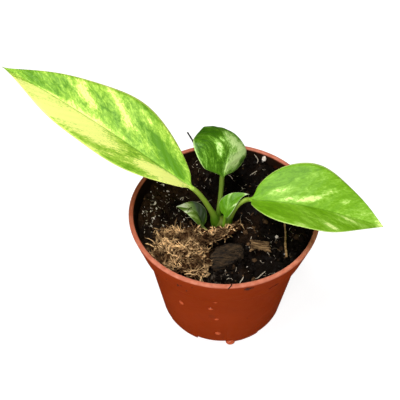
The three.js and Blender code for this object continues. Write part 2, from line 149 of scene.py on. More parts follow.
bpy.ops.object.shade_smooth_by_angle(angle=math.radians(40))

inner_heights = [height for _, height in pot_inside[:-1]][::-1]
inner_radii = [radius for radius, _ in pot_inside[:-1]][::-1]
inner_wall = pot.data.attributes.new("inner_wall", "FLOAT", "POINT")
for vertex, mark in zip(pot.data.vertices, inner_wall.data):
    x, y, z = vertex.co / MM
    wall_radius = np.interp(z, inner_heights, inner_radii)
    mark.value = 1.0 if z > inner_floor - 0.1 and math.hypot(x, y) < wall_radius + 0.2 else 0.0


def linear(hex_colour):
    """An sRGB hex colour as the linear numbers that a shader socket takes."""
    parts = [int(hex_colour[at:at + 2], 16) / 255 for at in (1, 3, 5)]
    return tuple(p / 12.92 if p <= 0.04045 else ((p + 0.055) / 1.055) ** 2.4 for p in parts) + (1.0,)


def feed(node, sockets):
    """Sets inputs by name or in their order: numbers as they are, hex colours made linear, nodes linked."""
    if not isinstance(sockets, dict):
        sockets = dict(zip([place for place, socket in enumerate(node.inputs) if socket.enabled], sockets))
    for socket, value in sockets.items():
        if isinstance(value, bpy.types.Node):
            value = [output for output in value.outputs if output.enabled][0]
        if isinstance(value, bpy.types.NodeSocket):
            node.id_data.links.new(value, node.inputs[socket])
        else:
            node.inputs[socket].default_value = linear(value) if isinstance(value, str) else value


def add_node(tree, kind, sockets=(), **settings):
    """Adds a node with its settings, and feeds its inputs."""
    node = tree.nodes.new("ShaderNode" + kind)
    for name, value in settings.items():
        setattr(node, name, value)
    feed(node, sockets)
    return node


def start_material(name, piece):
    """A new material on a piece, with its node tree and its Principled shader."""
    material = bpy.data.materials.new(name)
    material.use_nodes = True
    piece.data.materials.clear()
    piece.data.materials.append(material)
    return material.node_tree, material.node_tree.nodes["Principled BSDF"]


# Injection-moulded polypropylene, coloured through: a satin skin, softly mottled by the melt's flow, with
# a lip painted paler on top, partly pale scuffs and partly a painted highlight, and painted darker towards
# the left, a film of dried soil under it, and the inside painted near black below the lip, partly damp soil
# clinging to it and partly painted shade that deepens to the left. IOR 1.49 is polypropylene's.
tree, plastic = start_material("moulded_polypropylene_terracotta", pot)
place = add_node(tree, "TexCoord").outputs["Object"]
height = add_node(tree, "SeparateXYZ", (place,)).outputs["Z"]
flow = add_node(tree, "TexNoise", {"Vector": place, "Scale": 55.0, "Detail": 5.0, "Roughness": 0.6})
body = add_node(tree, "Mix", (flow, "#8a2c00", "#963200"), data_type="RGBA")
# The lip's top is painted paler than the body: pale scuffs in patches over a painted highlight.
lip = add_node(tree, "MapRange", (height, 0.0668, 0.0677, 0.0, 1.0), interpolation_type="SMOOTHSTEP")
scuff = add_node(tree, "TexNoise", {"Vector": place, "Scale": 420.0, "Detail": 3.0})
lip_scuff_and_highlight_amount = add_node(tree, "MapRange", (scuff, 0.3, 0.7, 0.5, 0.95))
lip_scuff_and_highlight_share = add_node(tree, "Math", (lip, lip_scuff_and_highlight_amount), operation="MULTIPLY")
left_to_right = add_node(tree, "SeparateXYZ", (place,)).outputs["X"]
# The lip is painted darker towards the left.
lip_darker_to_left = add_node(tree, "MapRange", (left_to_right, -0.028, -0.042, 0.0, 0.6))
lip_scuff_and_highlight_colour = add_node(tree, "Mix", (lip_darker_to_left, "#cd8066", "#8c4430"), data_type="RGBA")
lip_scuffed_and_highlit = add_node(tree, "Mix", (lip_scuff_and_highlight_share, body, lip_scuff_and_highlight_colour), data_type="RGBA")
film = add_node(tree, "TexNoise", {"Vector": place, "Scale": 120.0, "Detail": 6.0, "Roughness": 0.7})
film_edge = add_node(tree, "MapRange", (film, 0.60, 0.74, 0.0, 0.35))
soiled = add_node(tree, "Mix", (film_edge, lip_scuffed_and_highlit, "#5b2410"), data_type="RGBA")
# The inside of the wall below the lip is painted near black: partly damp soil in patches and partly painted
# shade, deepest at the left.
inner = add_node(tree, "Attribute", attribute_name="inner_wall")
mud_and_shade_to_left = add_node(tree, "MapRange", (left_to_right, -0.02, 0.03, 1.4, 0.8))
patchy = add_node(tree, "Math", (film, 1.2, -0.45), operation="MULTIPLY_ADD")
mud_and_shade = add_node(tree, "Math", (patchy, mud_and_shade_to_left), operation="ADD")
below_lip = add_node(tree, "MapRange", (height, 0.0671, 0.0679, 1.0, 0.0))
inner_mud_and_shade = add_node(tree, "Math", (mud_and_shade, inner.outputs["Fac"]), operation="MULTIPLY", use_clamp=True)
inner_mud_and_shade_share = add_node(tree, "Math", (inner_mud_and_shade, below_lip), operation="MULTIPLY")
mud_and_shade_painted = add_node(tree, "Mix", (inner_mud_and_shade_share, soiled, "#1c110a"), data_type="RGBA")
grain = add_node(tree, "TexNoise", {"Vector": place, "Scale": 900.0, "Detail": 2.0})
skin = add_node(tree, "Bump", {"Height": grain, "Strength": 0.12, "Distance": 0.0002})
matte = add_node(tree, "MapRange", (film, 0.3, 0.8, 0.34, 0.55))
feed(plastic, {"Base Color": mud_and_shade_painted, "Roughness": matte, "Normal": skin, "IOR": 1.49,
               "Specular IOR Level": 0.09, "Subsurface Weight": 0.08,
               "Subsurface Radius": (0.002, 0.0006, 0.0003)})
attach(pot, "root")
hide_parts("pot")


# Water drops.
# A trickle from the last watering: small drops down the front of the wall, and a large one that hangs at the
# foot. Each is a ball flattened against the wall, so the plastic shows through it.

outer_heights = [height for _, height in pot_outside[3:]]
outer_radii = [radius for radius, _ in pot_outside[3:]]


def on_pot(x, y, height):
    """The place on the outer wall below a point, at a height, and the turn round the pot that it has."""
    turn = math.atan2(y, x)
    radius = np.interp(height, outer_heights, outer_radii)
    return Vector((radius * math.cos(turn), radius * math.sin(turn), height)), turn


drop_sizes = [
    ((-19.1, -30.4), 34.9, (1.3, 0.30, 1.5)), ((-5.0, -36.3), 39.1, (1.2, 0.55, 0.75)),
    ((-2.0, -34.8), 28.7, (1.0, 0.4, 0.7)), ((-1.2, -32.3), 13.3, (1.4, 0.8, 1.2)),
    ((-2.4, -33.4), 46.0, (0.8, 0.25, 0.5)), ((5.2, -30.3), 2.7, (2.3, 1.6, 1.7)),
]
wall_slope = math.atan2(body_top_radius - base_radius, body_top - base_edge)
drops = []
for (x, y), height, (wide, deep, tall) in drop_sizes:
    spot, turn = on_pot(x, y, height)
    drop = added(bpy.ops.mesh.primitive_uv_sphere_add, segments=32, ring_count=16, radius=MM)
    lean = Matrix.Rotation(turn, 4, "Z") @ Matrix.Rotation(wall_slope, 4, "Y")
    drop.data.transform(Matrix.Translation(spot * MM) @ lean @ Matrix.Diagonal((deep, wide, tall, 1)))
    drops.append(drop)


def joined(name, pieces):
    select_only(pieces[-1])
    for piece in pieces:
        piece.select_set(True)
    bpy.ops.object.join()
    bpy.context.object.name = name
    return bpy.context.object


drops = joined("water_drops", drops)
bpy.ops.object.shade_smooth()
# Water on terracotta-coloured plastic: IOR 1.333. The clear water is given a light orange base colour,
# painted light that stands in for the light a drop gathers from the wall behind it, so it is lighter and more
# orange than the wall, with one bright point.
tree, water = start_material("water_on_terracotta", drops)
feed(water, {"Base Color": "#dc6a42", "Transmission Weight": 0.25, "IOR": 1.333, "Roughness": 0.08})
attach(drops, "root")


# The soil.
# Damp peat and bark crumbs, pressed in by hand: uneven, higher at the back, pulled away from the wall at the
# left. Its body is a grid rolled round the pot's axis, and loose crumbs of two sizes lie on it.

soil_level = 62.6
soil_slope = 0.055
soil_heap = (6.0, 38.0, 2.0, 16.0)
soil_sag = (-34.0, -6.0, -1.6, 9.0)
soil_bank = (3.5, -31.8, 2.4, 4.6)


def soil_height(x, y):
    """The height of the soil's lumps of one to two centimetres, without its crumbs."""
    level = soil_level + soil_slope * y
    level += 0.7 * math.sin(0.31 * x + 1.3) * math.cos(0.27 * y - 0.4)
    level += 0.45 * math.sin(0.63 * x + 0.41 * y + 2.1) + 0.3 * math.sin(0.9 * x - 0.77 * y)
    for bump_x, bump_y, rise, spread in (soil_heap, soil_sag, soil_bank):
        level += rise * math.exp(-((x - bump_x) ** 2 + (y - bump_y) ** 2) / (2 * spread ** 2))
    return level


def crumbly_height(x, y):
    """The soil's height with crumbs of one to three millimetres in it."""
    spot = Vector((x, y, 0.0))
    nearest = noise.voronoi(spot * 0.36)[0]
    crumbs = 1.5 * (nearest[1] - nearest[0]) + 0.6 * noise.fractal(spot * 1.1, 0.8, 2.0, 4)
    return soil_height(x, y) - 0.75 + crumbs


def rolled_grid(name, rings, values=None):
    """A grid whose long edges meet: rings[row][column] are points in mm, values are kept as attributes."""
    rows, columns = rings.shape[0] - 1, rings.shape[1]
    piece = added(bpy.ops.mesh.primitive_grid_add, x_subdivisions=rows, y_subdivisions=columns, size=2)
    piece.name = name
    mesh = piece.data
    flat = np.empty(len(mesh.vertices) * 3)
    mesh.vertices.foreach_get("co", flat)
    flat = flat.reshape(-1, 3)
    row = np.rint((flat[:, 0] + 1) / 2 * rows).astype(int)
    column = np.rint((flat[:, 1] + 1) / 2 * columns).astype(int) % columns
    mesh.vertices.foreach_set("co", (rings[row, column] * MM).ravel())
    for key, value in (values or {}).items():
        attribute = mesh.attributes.new(key, "FLOAT_VECTOR", "POINT")
        attribute.data.foreach_set("vector", value[row, column].astype(float).ravel())
    bpy.ops.object.mode_set(mode="EDIT")
    bpy.ops.mesh.select_all(action="SELECT")
    bpy.ops.mesh.remove_doubles(threshold=1e-7)
    bpy.ops.mesh.select_all(action="DESELECT")
    bpy.ops.mesh.select_non_manifold(extend=False)
    bpy.ops.mesh.fill_holes(sides=0)
    bpy.ops.object.mode_set(mode="OBJECT")
    face_outwards(piece)
    bpy.ops.object.shade_smooth()
    return piece


soil_corners = [(0.001, 5.7), (27.8, 5.8), (29.0, 7.1), (32.8, 27.9), (36.5, 50.4), (38.8, 52.2)]
soil_segments = 220
soil_rings = 78
soil_radius = 41.0
edge_start = 0.93
angles = np.linspace(0, 2 * math.pi, soil_segments, endpoint=False)
ring_list = []
for radius, level in soil_corners:
    ring_list.append([(radius * math.cos(a), radius * math.sin(a), level) for a in angles])
for ring in range(soil_rings, -1, -1):
    share = max(ring / soil_rings, 1e-5)
    edge_drop = 0.9 * max(0.0, share - edge_start) / (1 - edge_start)
    ring_list.append([])
    for a in angles:
        reach = soil_radius * share
        x, y = reach * math.cos(a), reach * math.sin(a)
        ring_list[-1].append((x, y, crumbly_height(x, y) - edge_drop))
soil = rolled_grid("potting_soil", np.array(ring_list))


def toned_mesh(name, points, faces, tones):
    """One mesh of many like shapes: points[shape] are its corners, and each shape has its own tone."""
    mesh = bpy.data.meshes.new(name)
    mesh.from_pydata(points.reshape(-1, 3).tolist(), [], faces)
    tone = mesh.attributes.new("tone", "FLOAT", "POINT")
    tone.data.foreach_set("value", np.repeat(np.asarray(tones, float), points[0].size // 3))
    piece = bpy.data.objects.new(name, mesh)
    bpy.context.scene.collection.objects.link(piece)
    face_outwards(piece)
    return piece


def scatter(name, subdivisions, places, sizes, tones, seed, squash=0.75, jag=0.25):
    """Many small lumps in one mesh: each is a turned, squashed copy of one ball with its corners moved."""
    draw = np.random.default_rng(seed)
    ball = added(bpy.ops.mesh.primitive_ico_sphere_add, subdivisions=subdivisions, radius=1)
    corners = np.array([v.co[:] for v in ball.data.vertices])
    faces = np.array([f.vertices[:] for f in ball.data.polygons])
    bpy.data.objects.remove(ball)
    count = len(places)
    turns = np.linalg.qr(draw.normal(size=(count, 3, 3)))[0]
    stretch = draw.uniform(squash, 1.25, size=(count, 1, 3))
    jagged = corners[None] * (1 + draw.uniform(-jag, jag, size=(count, len(corners), 1)))
    points = np.einsum("nij,nkj->nki", turns, jagged * stretch) * np.asarray(sizes)[:, None, None]
    points = (points + np.asarray(places)[:, None, :]) * MM
    index = (faces[None] + np.arange(count)[:, None, None] * len(corners)).reshape(-1, 3)
    return toned_mesh(name, points, index.tolist(), tones)


crown_at = (-0.9, -5.6)


def soil_places(count, seed, reach=40.3, lift=0.0, clear=5.6):
    """Seeded places on the soil, clear of the crown."""
    draw = random.Random(seed)
    found = []
    while len(found) < count:
        x, y = draw.uniform(-reach, reach), draw.uniform(-reach, reach)
        if math.hypot(x, y) < reach and math.hypot(x - crown_at[0], y - crown_at[1]) > clear:
            found.append((x, y, crumbly_height(x, y) + lift))
    return found


# The dark bark chunk lies half sunk, so crumbs are heaped round its edge.
chunk_at = (1.6, -24.2, 63.4)
chunk_half_sizes = (9.4, 5.4, 3.1)
chunk_turn = math.radians(38)
coarse_count = 420
heaped_count = 110
fine_count = 4200
crumb_draw = random.Random(31)
coarse_places = soil_places(coarse_count, 7, reach=39.6)
for _ in range(heaped_count):
    turn, reach = crumb_draw.uniform(0, 2 * math.pi), crumb_draw.uniform(0.9, 1.2)
    along = chunk_half_sizes[0] * reach * math.cos(turn)
    aside = chunk_half_sizes[1] * reach * math.sin(turn)
    x = chunk_at[0] + along * math.cos(chunk_turn) - aside * math.sin(chunk_turn)
    y = chunk_at[1] + along * math.sin(chunk_turn) + aside * math.cos(chunk_turn)
    coarse_places.append((x, y, crumbly_height(x, y) + crumb_draw.uniform(0.2, 1.5)))
coarse_sizes = [crumb_draw.uniform(0.6, 1.5) for _ in coarse_places]
coarse_tones = [crumb_draw.random() for _ in coarse_places]
coarse_crumbs = scatter("soil_crumbs_coarse", 2, coarse_places, coarse_sizes, coarse_tones, seed=8)
fine_places = soil_places(fine_count, 9)
fine_sizes = [crumb_draw.uniform(0.18, 0.6) for _ in range(fine_count)]
fine_tones = [crumb_draw.random() for _ in range(fine_count)]
fine_crumbs = scatter("soil_crumbs_fine", 1, fine_places, fine_sizes, fine_tones, seed=10)

# Damp peat: nearly black where it is wet, brown where it has dried, and painted lighter towards the left as
# painted light, with small wet glints. Crumbs are 1 to 3 mm, so the noise that tints them repeats at about
# that size.
for piece in (soil, coarse_crumbs, fine_crumbs):
    tree, peat = start_material("damp_peat_and_bark", piece)
    place = add_node(tree, "TexCoord").outputs["Object"]
    speck = add_node(tree, "TexNoise", {"Vector": place, "Scale": 420.0, "Detail": 4.0})
    patch = add_node(tree, "TexNoise", {"Vector": place, "Scale": 90.0, "Detail": 2.0})
    across_pot = add_node(tree, "SeparateXYZ", (place,)).outputs["X"]
    # Painted light: the peat is painted lighter towards the left.
    left_painted_light = add_node(tree, "MapRange", (across_pot, -0.034, 0.0, 0.24, -0.04))
    uneven = add_node(tree, "Math", (patch, left_painted_light), operation="ADD")
    dry_and_lit_share = add_node(tree, "MapRange", (uneven, 0.50, 0.76, 0.0, 0.8))
    wet = add_node(tree, "Mix", (speck, "#020100", "#120a05"), data_type="RGBA")
    dry = add_node(tree, "Mix", (speck, "#0f0804", "#402a18"), data_type="RGBA")
    colour = add_node(tree, "Mix", (dry_and_lit_share, wet, dry), data_type="RGBA")
    if piece is not soil:
        tone = add_node(tree, "Attribute", attribute_name="tone")
        lightened = add_node(tree, "MapRange", (tone.outputs["Fac"], 0.93, 1.0, 0.0, 0.6))
        colour = add_node(tree, "Mix", (lightened, colour, "#75583c"), data_type="RGBA")
    gloss = add_node(tree, "MapRange", (speck, 0.35, 0.65, 0.45, 0.95))
    rough = add_node(tree, "Bump", {"Height": speck, "Strength": 0.6, "Distance": 0.0006})
    feed(peat, {"Base Color": colour, "Roughness": gloss, "Normal": rough, "IOR": 1.4,
                "Specular IOR Level": 0.1})
    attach(piece, "root")
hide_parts("soil")


# Soil on the pot.
# Crumbs that dried on the outside of the wall: a smudge under the lip at the front, a thin line at the right
# and single flecks.

smudge_sizes = [0.6, 0.85, 0.95, 0.8, 0.65, 0.5, 0.45, 0.4]
line_count = 9
single_flecks = [
    (-19.6, -37.8, 59.3, 0.5), (-18.0, -38.4, 60.4, 0.35), (-13.1, -41.8, 63.5, 0.3),
    (-16.0, -39.5, 56.5, 0.4), (-24.5, -33.0, 58.0, 0.3),
]
stray_count = 26
fleck_places = [(12.4 + 0.55 * k, -42.8, 65.0 + 0.25 * math.sin(2 * k)) for k in range(-4, 4)]
fleck_places += [(22.1 + 0.55 * k, -37.3 + 0.3 * k, 56.4 + 0.1 * k) for k in range(line_count)]
fleck_places += [fleck[:3] for fleck in single_flecks]
fleck_draw = random.Random(61)
for _ in range(stray_count):
    turn = fleck_draw.uniform(0, 2 * math.pi)
    fleck_places.append((math.cos(turn), math.sin(turn), fleck_draw.uniform(8, 66)))
fleck_spots = [tuple(on_pot(x, y, height)[0]) for x, y, height in fleck_places]
fleck_sizes = smudge_sizes + [0.26] * line_count + [fleck[3] for fleck in single_flecks]
fleck_sizes += [fleck_draw.uniform(0.12, 0.28) for _ in range(stray_count)]
fleck_tones = [0.5] * len(fleck_spots)
pot_flecks = scatter("soil_flecks_on_pot", 1, fleck_spots, fleck_sizes, fleck_tones, seed=62, jag=0.2)
# Soil dried on plastic: dull and red-brown, because the thin film lets the terracotta colour through.
tree, dried_soil = start_material("dried_on_soil", pot_flecks)
place = add_node(tree, "TexCoord").outputs["Object"]
speck = add_node(tree, "TexNoise", {"Vector": place, "Scale": 900.0, "Detail": 2.0})
stain = add_node(tree, "Mix", (speck, "#2a0d04", "#5a2210"), data_type="RGBA")
feed(dried_soil, {"Base Color": stain, "Roughness": 0.85})
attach(pot_flecks, "root")


# Perlite.
# White grains of expanded volcanic glass, 1 to 3 mm, mixed into the soil. They are light, so they lie on top,
# most of them at the left and one large grain on the heap at the back right.

perlite_seen = [
    (18.9, 36.6, 1.35), (-30.4, 18.9, 0.75), (-27.6, 14.4, 0.55), (-36.0, 15.4, 0.5), (-33.2, 7.9, 0.8),
    (-38.6, 2.2, 0.55), (-35.2, 3.0, 0.6), (-34.2, -0.7, 0.6), (-34.3, -4.8, 0.5), (-28.9, -4.9, 0.6),
    (24.8, -9.9, 0.8), (28.7, -4.2, 0.4), (33.4, -10.7, 0.7),
]
speck_count = 70
chip_count = 46
speck_draw = random.Random(12)
# A small grain sinks between the crumbs, and a large one stands up on them.
perlite_places = [(x, y, crumbly_height(x, y) + 1.2 * r ** 2 / (r + 0.6)) for x, y, r in perlite_seen]
perlite_places += soil_places(speck_count, 13, lift=0.2)
perlite_sizes = [r for _, _, r in perlite_seen] + [speck_draw.uniform(0.16, 0.4) for _ in range(speck_count)]
for _ in range(chip_count):
    x, y = speck_draw.uniform(-39, -16), speck_draw.uniform(-12, 24)
    if math.hypot(x, y) < 39.5:
        perlite_places.append((x, y, crumbly_height(x, y) + 0.35))
        perlite_sizes.append(speck_draw.uniform(0.20, 0.55))
perlite = scatter("perlite_grains", 2, perlite_places, perlite_sizes, [1.0] * len(perlite_sizes), seed=14,
                  squash=0.4, jag=0.26)
# Expanded perlite: a matt white foam with pores of half a millimetre, stained cream where they hold soil.
tree, glass_foam = start_material("expanded_perlite", perlite)
place = add_node(tree, "TexCoord").outputs["Object"]
pores = add_node(tree, "TexVoronoi", {"Vector": place, "Scale": 2200.0})
pitted = add_node(tree, "Bump", {"Height": pores, "Strength": 0.5, "Distance": 0.0003})
pale = add_node(tree, "Mix", (pores, "#a8957d", "#fff6ea"), data_type="RGBA")
feed(glass_foam, {"Base Color": pale, "Normal": pitted, "Roughness": 0.85})
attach(perlite, "root")


# The torn coir plug.
# What is left of the coconut-fibre plug that the plant was raised in: a matted clump, torn open, with an arm
# that reaches in front of the crown. A lumpy core carries flat shreds, fine fibres and ends that stand off.

coir_lumps = [
    ((-19.5, -25.0, 65.0), (12.6, 9.6, 4.4), -12),
    ((-13.0, -30.5, 64.6), (6.6, 7.6, 3.4), 10),
    ((-14.5, -16.8, 66.8), (11.5, 3.6, 3.4), 4),
    ((-25.0, -16.0, 65.4), (5.0, 4.2, 3.0), 20),
    ((-2.5, -13.4, 66.6), (6.5, 2.6, 2.1), 12),
    ((4.2, -10.0, 66.8), (4.0, 1.7, 1.7), 42),
]
inner_edge = 40.2
lumps = []
for centre, size, turn in coir_lumps:
    lump = added(bpy.ops.mesh.primitive_ico_sphere_add, subdivisions=4, radius=1)
    spin = Matrix.Rotation(math.radians(turn), 4, "Z")
    stretch = Matrix.Diagonal((*(Vector(size) * MM), 1))
    lump.data.transform(Matrix.Translation(Vector(centre) * MM) @ spin @ stretch)
    lumps.append(lump)
coir_core = joined("coir_core", lumps)
core_voxel = 0.7
apply_modifier(coir_core, "REMESH", mode="VOXEL", voxel_size=core_voxel * MM)
for vertex in coir_core.data.vertices:
    spot = vertex.co / MM
    swell = 1.5 * noise.fractal(spot * 0.4, 0.9, 2.0, 4) - 1.5
    place = spot + vertex.normal * swell
    reach = math.hypot(place.x, place.y)
    if reach > inner_edge:
        place.x, place.y = place.x * inner_edge / reach, place.y * inner_edge / reach
    vertex.co = place * MM


def strands(name, paths, radii, tones, sides=3, flat=1.0):
    """Many thin fibres in one mesh: paths are points in mm, each with its radius, a fibre has one tone."""
    count, steps, _ = paths.shape
    along = np.gradient(paths, axis=1)
    along /= np.linalg.norm(along, axis=2, keepdims=True) + 1e-9
    aside = np.cross(along, np.array([0.31, 0.52, 0.79]))
    aside /= np.linalg.norm(aside, axis=2, keepdims=True) + 1e-9
    third = flat * np.cross(along, aside)
    turn = np.linspace(0, 2 * math.pi, sides, endpoint=False)[None, None, :, None]
    ring = aside[:, :, None] * np.cos(turn) + third[:, :, None] * np.sin(turn)
    points = (paths[:, :, None] + ring * radii[:, :, None, None]) * MM
    start = (np.arange(count) * steps * sides)[:, None, None, None]
    row = (np.arange(steps - 1) * sides)[None, :, None, None]
    side = np.arange(sides)[None, None, :, None]
    after = (side + 1) % sides
    quads = start + row + np.concatenate([side, after, after + sides, side + sides], axis=3)
    caps = start[:, 0, 0] + np.arange(sides)[None]
    far_caps = caps[:, ::-1] + (steps - 1) * sides
    faces = quads.reshape(-1, 4).tolist() + caps[:, ::-1].tolist() + far_caps[:, ::-1].tolist()
    piece = toned_mesh(name, points, faces, tones)
    bpy.ops.object.shade_smooth()
    return piece


coir_draw = np.random.default_rng(41)
core_places = np.array([v.co[:] for v in coir_core.data.vertices]) / MM
core_normals = np.array([v.normal[:] for v in coir_core.data.vertices])
shown = np.flatnonzero(core_normals[:, 2] > -0.25)
arm_start = -9
taper = np.array([0.55, 1.0, 1.0, 0.95, 0.8, 0.4])[None]
share = np.linspace(-0.4, 0.6, taper.size)[None, :, None]


def coir_layer(name, count, shortest, longest, thinnest, thickest, tallest, flat=1.0, fresh_share=0.45):
    """One layer of fibres that lie on the core and curl away from it, lower and paler on the arm."""
    roots = coir_draw.choice(shown, count)
    outward = core_normals[roots]
    lie = coir_draw.normal(size=(count, 3)) * [1.0, 0.8, 0.35]
    lie -= (lie * outward).sum(1, keepdims=True) * outward
    lie /= np.linalg.norm(lie, axis=1, keepdims=True)
    low = np.where(core_places[roots][:, :1] > arm_start, 0.45, 1.0)
    stand = tallest * low * coir_draw.random((count, 1)) ** 1.5
    lengths = coir_draw.uniform(shortest, longest, (count, 1)) * np.where(low < 1, 0.7, 1.0)
    curl = coir_draw.normal(size=(count, 3)) * 0.75
    paths = core_places[roots][:, None] + lengths[:, None] * (
        share * lie[:, None] + (stand * outward)[:, None] * (share + 0.4)
        + curl[:, None] * (share ** 2 - 0.12))
    paths += outward[:, None] * (0.1 + 0.7 * coir_draw.random((count, 1, 1)))
    reach = np.hypot(paths[..., 0], paths[..., 1])
    limit = np.where(paths[..., 2] < pot_height + 0.3, inner_edge + 0.9, 60.0)
    paths[..., :2] *= np.minimum(1.0, limit / np.maximum(reach, 1e-6))[..., None]
    radii = coir_draw.uniform(thinnest, thickest, (count, 1)) * taper
    fresh = coir_draw.random(count) < np.where(low[:, 0] < 1, 0.75, fresh_share)
    tones = np.where(fresh, coir_draw.uniform(0.65, 1.0, count), coir_draw.uniform(0.0, 0.42, count))
    tones = np.where(low[:, 0] < 1, np.maximum(tones, 0.3) + 0.2, tones)
    return strands(name, paths, radii, tones, sides=4 if flat < 1 else 3, flat=flat)


def bent_path(points, steps):
    """Points along a smooth curve through the given ones."""
    points = np.array(points, float)
    padded = np.vstack([2 * points[0] - points[1], points, 2 * points[-1] - points[-2]])
    spans = len(points) - 1
    found = []
    for where in np.linspace(0, spans, steps):
        span = min(int(where), spans - 1)
        share = where - span
        a, b, c, d = padded[span:span + 4]
        found.append(0.5 * (2 * b + (c - a) * share + (2 * a - 5 * b + 4 * c - d) * share ** 2
                            + (3 * b - a - 3 * c + d) * share ** 3))
    return np.array(found)


coir_shreds = coir_layer("coir_shreds", 640, 1.8, 4.4, 0.32, 0.62, 0.9, flat=0.4)
coir_fibres = coir_layer("coir_fibres", 820, 2.0, 6.0, 0.12, 0.22, 1.1)
coir_sprung = coir_layer("coir_sprung", 90, 2.6, 5.0, 0.26, 0.40, 1.3, flat=0.6, fresh_share=1.0)

# Single pale curls that stand out on the clump and at its torn edge.
curl_points = [
    [(-32.3, -11.2, 66.6), (-31.0, -11.7, 66.9), (-29.8, -12.3, 67.0)],
    [(-28.0, -11.3, 67.5), (-26.5, -12.9, 67.8), (-24.9, -13.8, 67.8)],
    [(-23.5, -12.1, 69.2), (-22.7, -13.5, 68.8), (-21.6, -15.4, 68.4)],
    [(-21.4, -11.9, 70.2), (-20.6, -13.4, 69.6), (-19.7, -14.9, 69.0)],
    [(7.0, -6.4, 68.6), (5.9, -7.2, 68.2), (4.9, -7.8, 67.8)],
    [(-35.5, -20.3, 66.4), (-33.3, -21.2, 66.8), (-31.0, -23.0, 67.0)],
    [(-29.7, -21.9, 68.2), (-28.4, -23.4, 68.4), (-27.0, -24.9, 68.4)],
    [(-25.8, -27.3, 69.0), (-25.1, -30.2, 69.4), (-25.5, -32.2, 69.2), (-26.1, -33.6, 68.5)],
    [(-22.7, -26.8, 69.4), (-22.5, -25.2, 69.8), (-21.4, -23.0, 69.6)],
    [(-20.5, -23.7, 69.8), (-19.4, -25.5, 69.8), (-17.6, -25.9, 69.4)],
    [(-18.4, -27.4, 69.6), (-17.6, -27.2, 69.8), (-16.9, -25.8, 69.6)],
    [(-15.8, -15.7, 69.6), (-15.1, -18.8, 70.0), (-14.1, -20.6, 70.0), (-13.5, -18.5, 69.8)],
    [(-8.5, -30.7, 67.6), (-7.9, -32.5, 67.8), (-8.4, -33.9, 67.4)],
    [(-5.9, -31.0, 66.2), (-5.2, -31.7, 66.4), (-4.6, -31.6, 66.2)],
    [(-16.6, -38.7, 68.4), (-14.6, -38.3, 68.6), (-11.9, -38.7, 68.2)],
    [(-1.6, -15.2, 67.6), (0.0, -15.6, 67.8), (1.5, -14.2, 67.8)],
    [(0.3, -14.3, 69.0), (-1.2, -13.4, 69.2), (-2.2, -12.6, 69.0)],
    [(-5.6, -17.9, 68.4), (-4.9, -16.1, 69.0), (-3.7, -15.0, 68.8)],
    [(-9.6, -13.0, 68.8), (-8.5, -14.4, 69.2), (-8.1, -15.8, 69.0)],
    [(-29.5, -19.7, 68.2), (-30.4, -19.8, 68.0), (-30.7, -20.0, 67.4)],
    [(-20.7, -31.8, 69.0), (-20.3, -31.1, 69.2), (-20.0, -30.1, 69.0)],
    [(-26.7, -29.9, 68.4), (-25.6, -28.5, 68.9), (-25.4, -26.4, 69.0)],
]
curl_steps = 12
curl_paths = np.array([bent_path(points, curl_steps) for points in curl_points])
curl_taper = np.sin(np.linspace(0.35, math.pi - 0.35, curl_steps))[None]
curl_radii = 0.42 * curl_taper * np.ones((len(curl_points), 1))
coir_curls = strands("coir_curls", curl_paths, curl_radii, [0.95] * len(curl_points), sides=5, flat=0.5)

# Dry coconut fibre: straw-gold to brown from fibre to fibre, dull, and dark where it is matted and damp. The
# core
# is painted near black: partly matted damp fibre and partly painted shade for the gaps between the fibres.
for piece in (coir_core, coir_shreds, coir_fibres, coir_sprung, coir_curls):
    tree, coir = start_material("dry_coconut_fibre", piece)
    place = add_node(tree, "TexCoord").outputs["Object"]
    mat = add_node(tree, "TexNoise", {"Vector": place, "Scale": 150.0, "Detail": 4.0})
    # Painted shade: the core shows through the gaps between the fibres, so it is painted near black.
    if piece is coir_core:
        colour = add_node(tree, "Mix", (mat, "#0a0502", "#3f240d"), data_type="RGBA")
    else:
        tone = add_node(tree, "Attribute", attribute_name="tone")
        brown = add_node(tree, "Mix", (tone.outputs["Fac"], "#3a1b04", "#ffd296"), data_type="RGBA")
        damp = add_node(tree, "MapRange", (mat, 0.40, 0.56, 0.9, 0.0))
        colour = add_node(tree, "Mix", (damp, brown, "#3a1e08"), data_type="RGBA")
    feed(coir, {"Base Color": colour, "Roughness": 0.8, "Specular IOR Level": 0.08})
    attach(piece, "root")
    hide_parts("coir_plug")


# Loose fibres in the soil.
# Single threads of coir and root that lie on the soil, straw-coloured to white, with a mat of dark ones at
# the front. The largest are laid one by one, two dark hairs bend over the lip and a stalk, the rest just
# fall.

loose_draw = np.random.default_rng(52)
loose_count = 340
loose_steps = 5
loose_limit = 40.3
loose_places = np.array(soil_places(loose_count, 53, reach=38.5))
heading = loose_draw.uniform(0, 2 * math.pi, loose_count)
loose_lengths = loose_draw.uniform(0.8, 4.2, loose_count)
loose_tones = loose_draw.uniform(0.1, 0.85, loose_count)
loose_thickness = loose_draw.uniform(0.07, 0.17, loose_count)
left_count, mat_count = 75, 115
at_left, dark_mat = slice(0, left_count), slice(left_count, left_count + mat_count)
loose_places[at_left, 0] = loose_draw.uniform(-38, -17, left_count)
loose_places[at_left, 1] = loose_draw.uniform(-9, 12, left_count)
loose_lengths[at_left] *= 0.6
loose_thickness[at_left] *= 1.5
loose_places[dark_mat, 0] = loose_draw.uniform(-9, 1.5, mat_count)
loose_places[dark_mat, 1] = loose_draw.uniform(-40, -29, mat_count)
heading[dark_mat] = loose_draw.normal(1.57, 0.35, mat_count)
loose_tones[dark_mat] = loose_draw.uniform(0.0, 0.16, mat_count)
loose_thickness[dark_mat] *= 1.6
curve = loose_draw.normal(size=loose_count) * 0.5
loose_paths = np.empty((loose_count, loose_steps, 3))
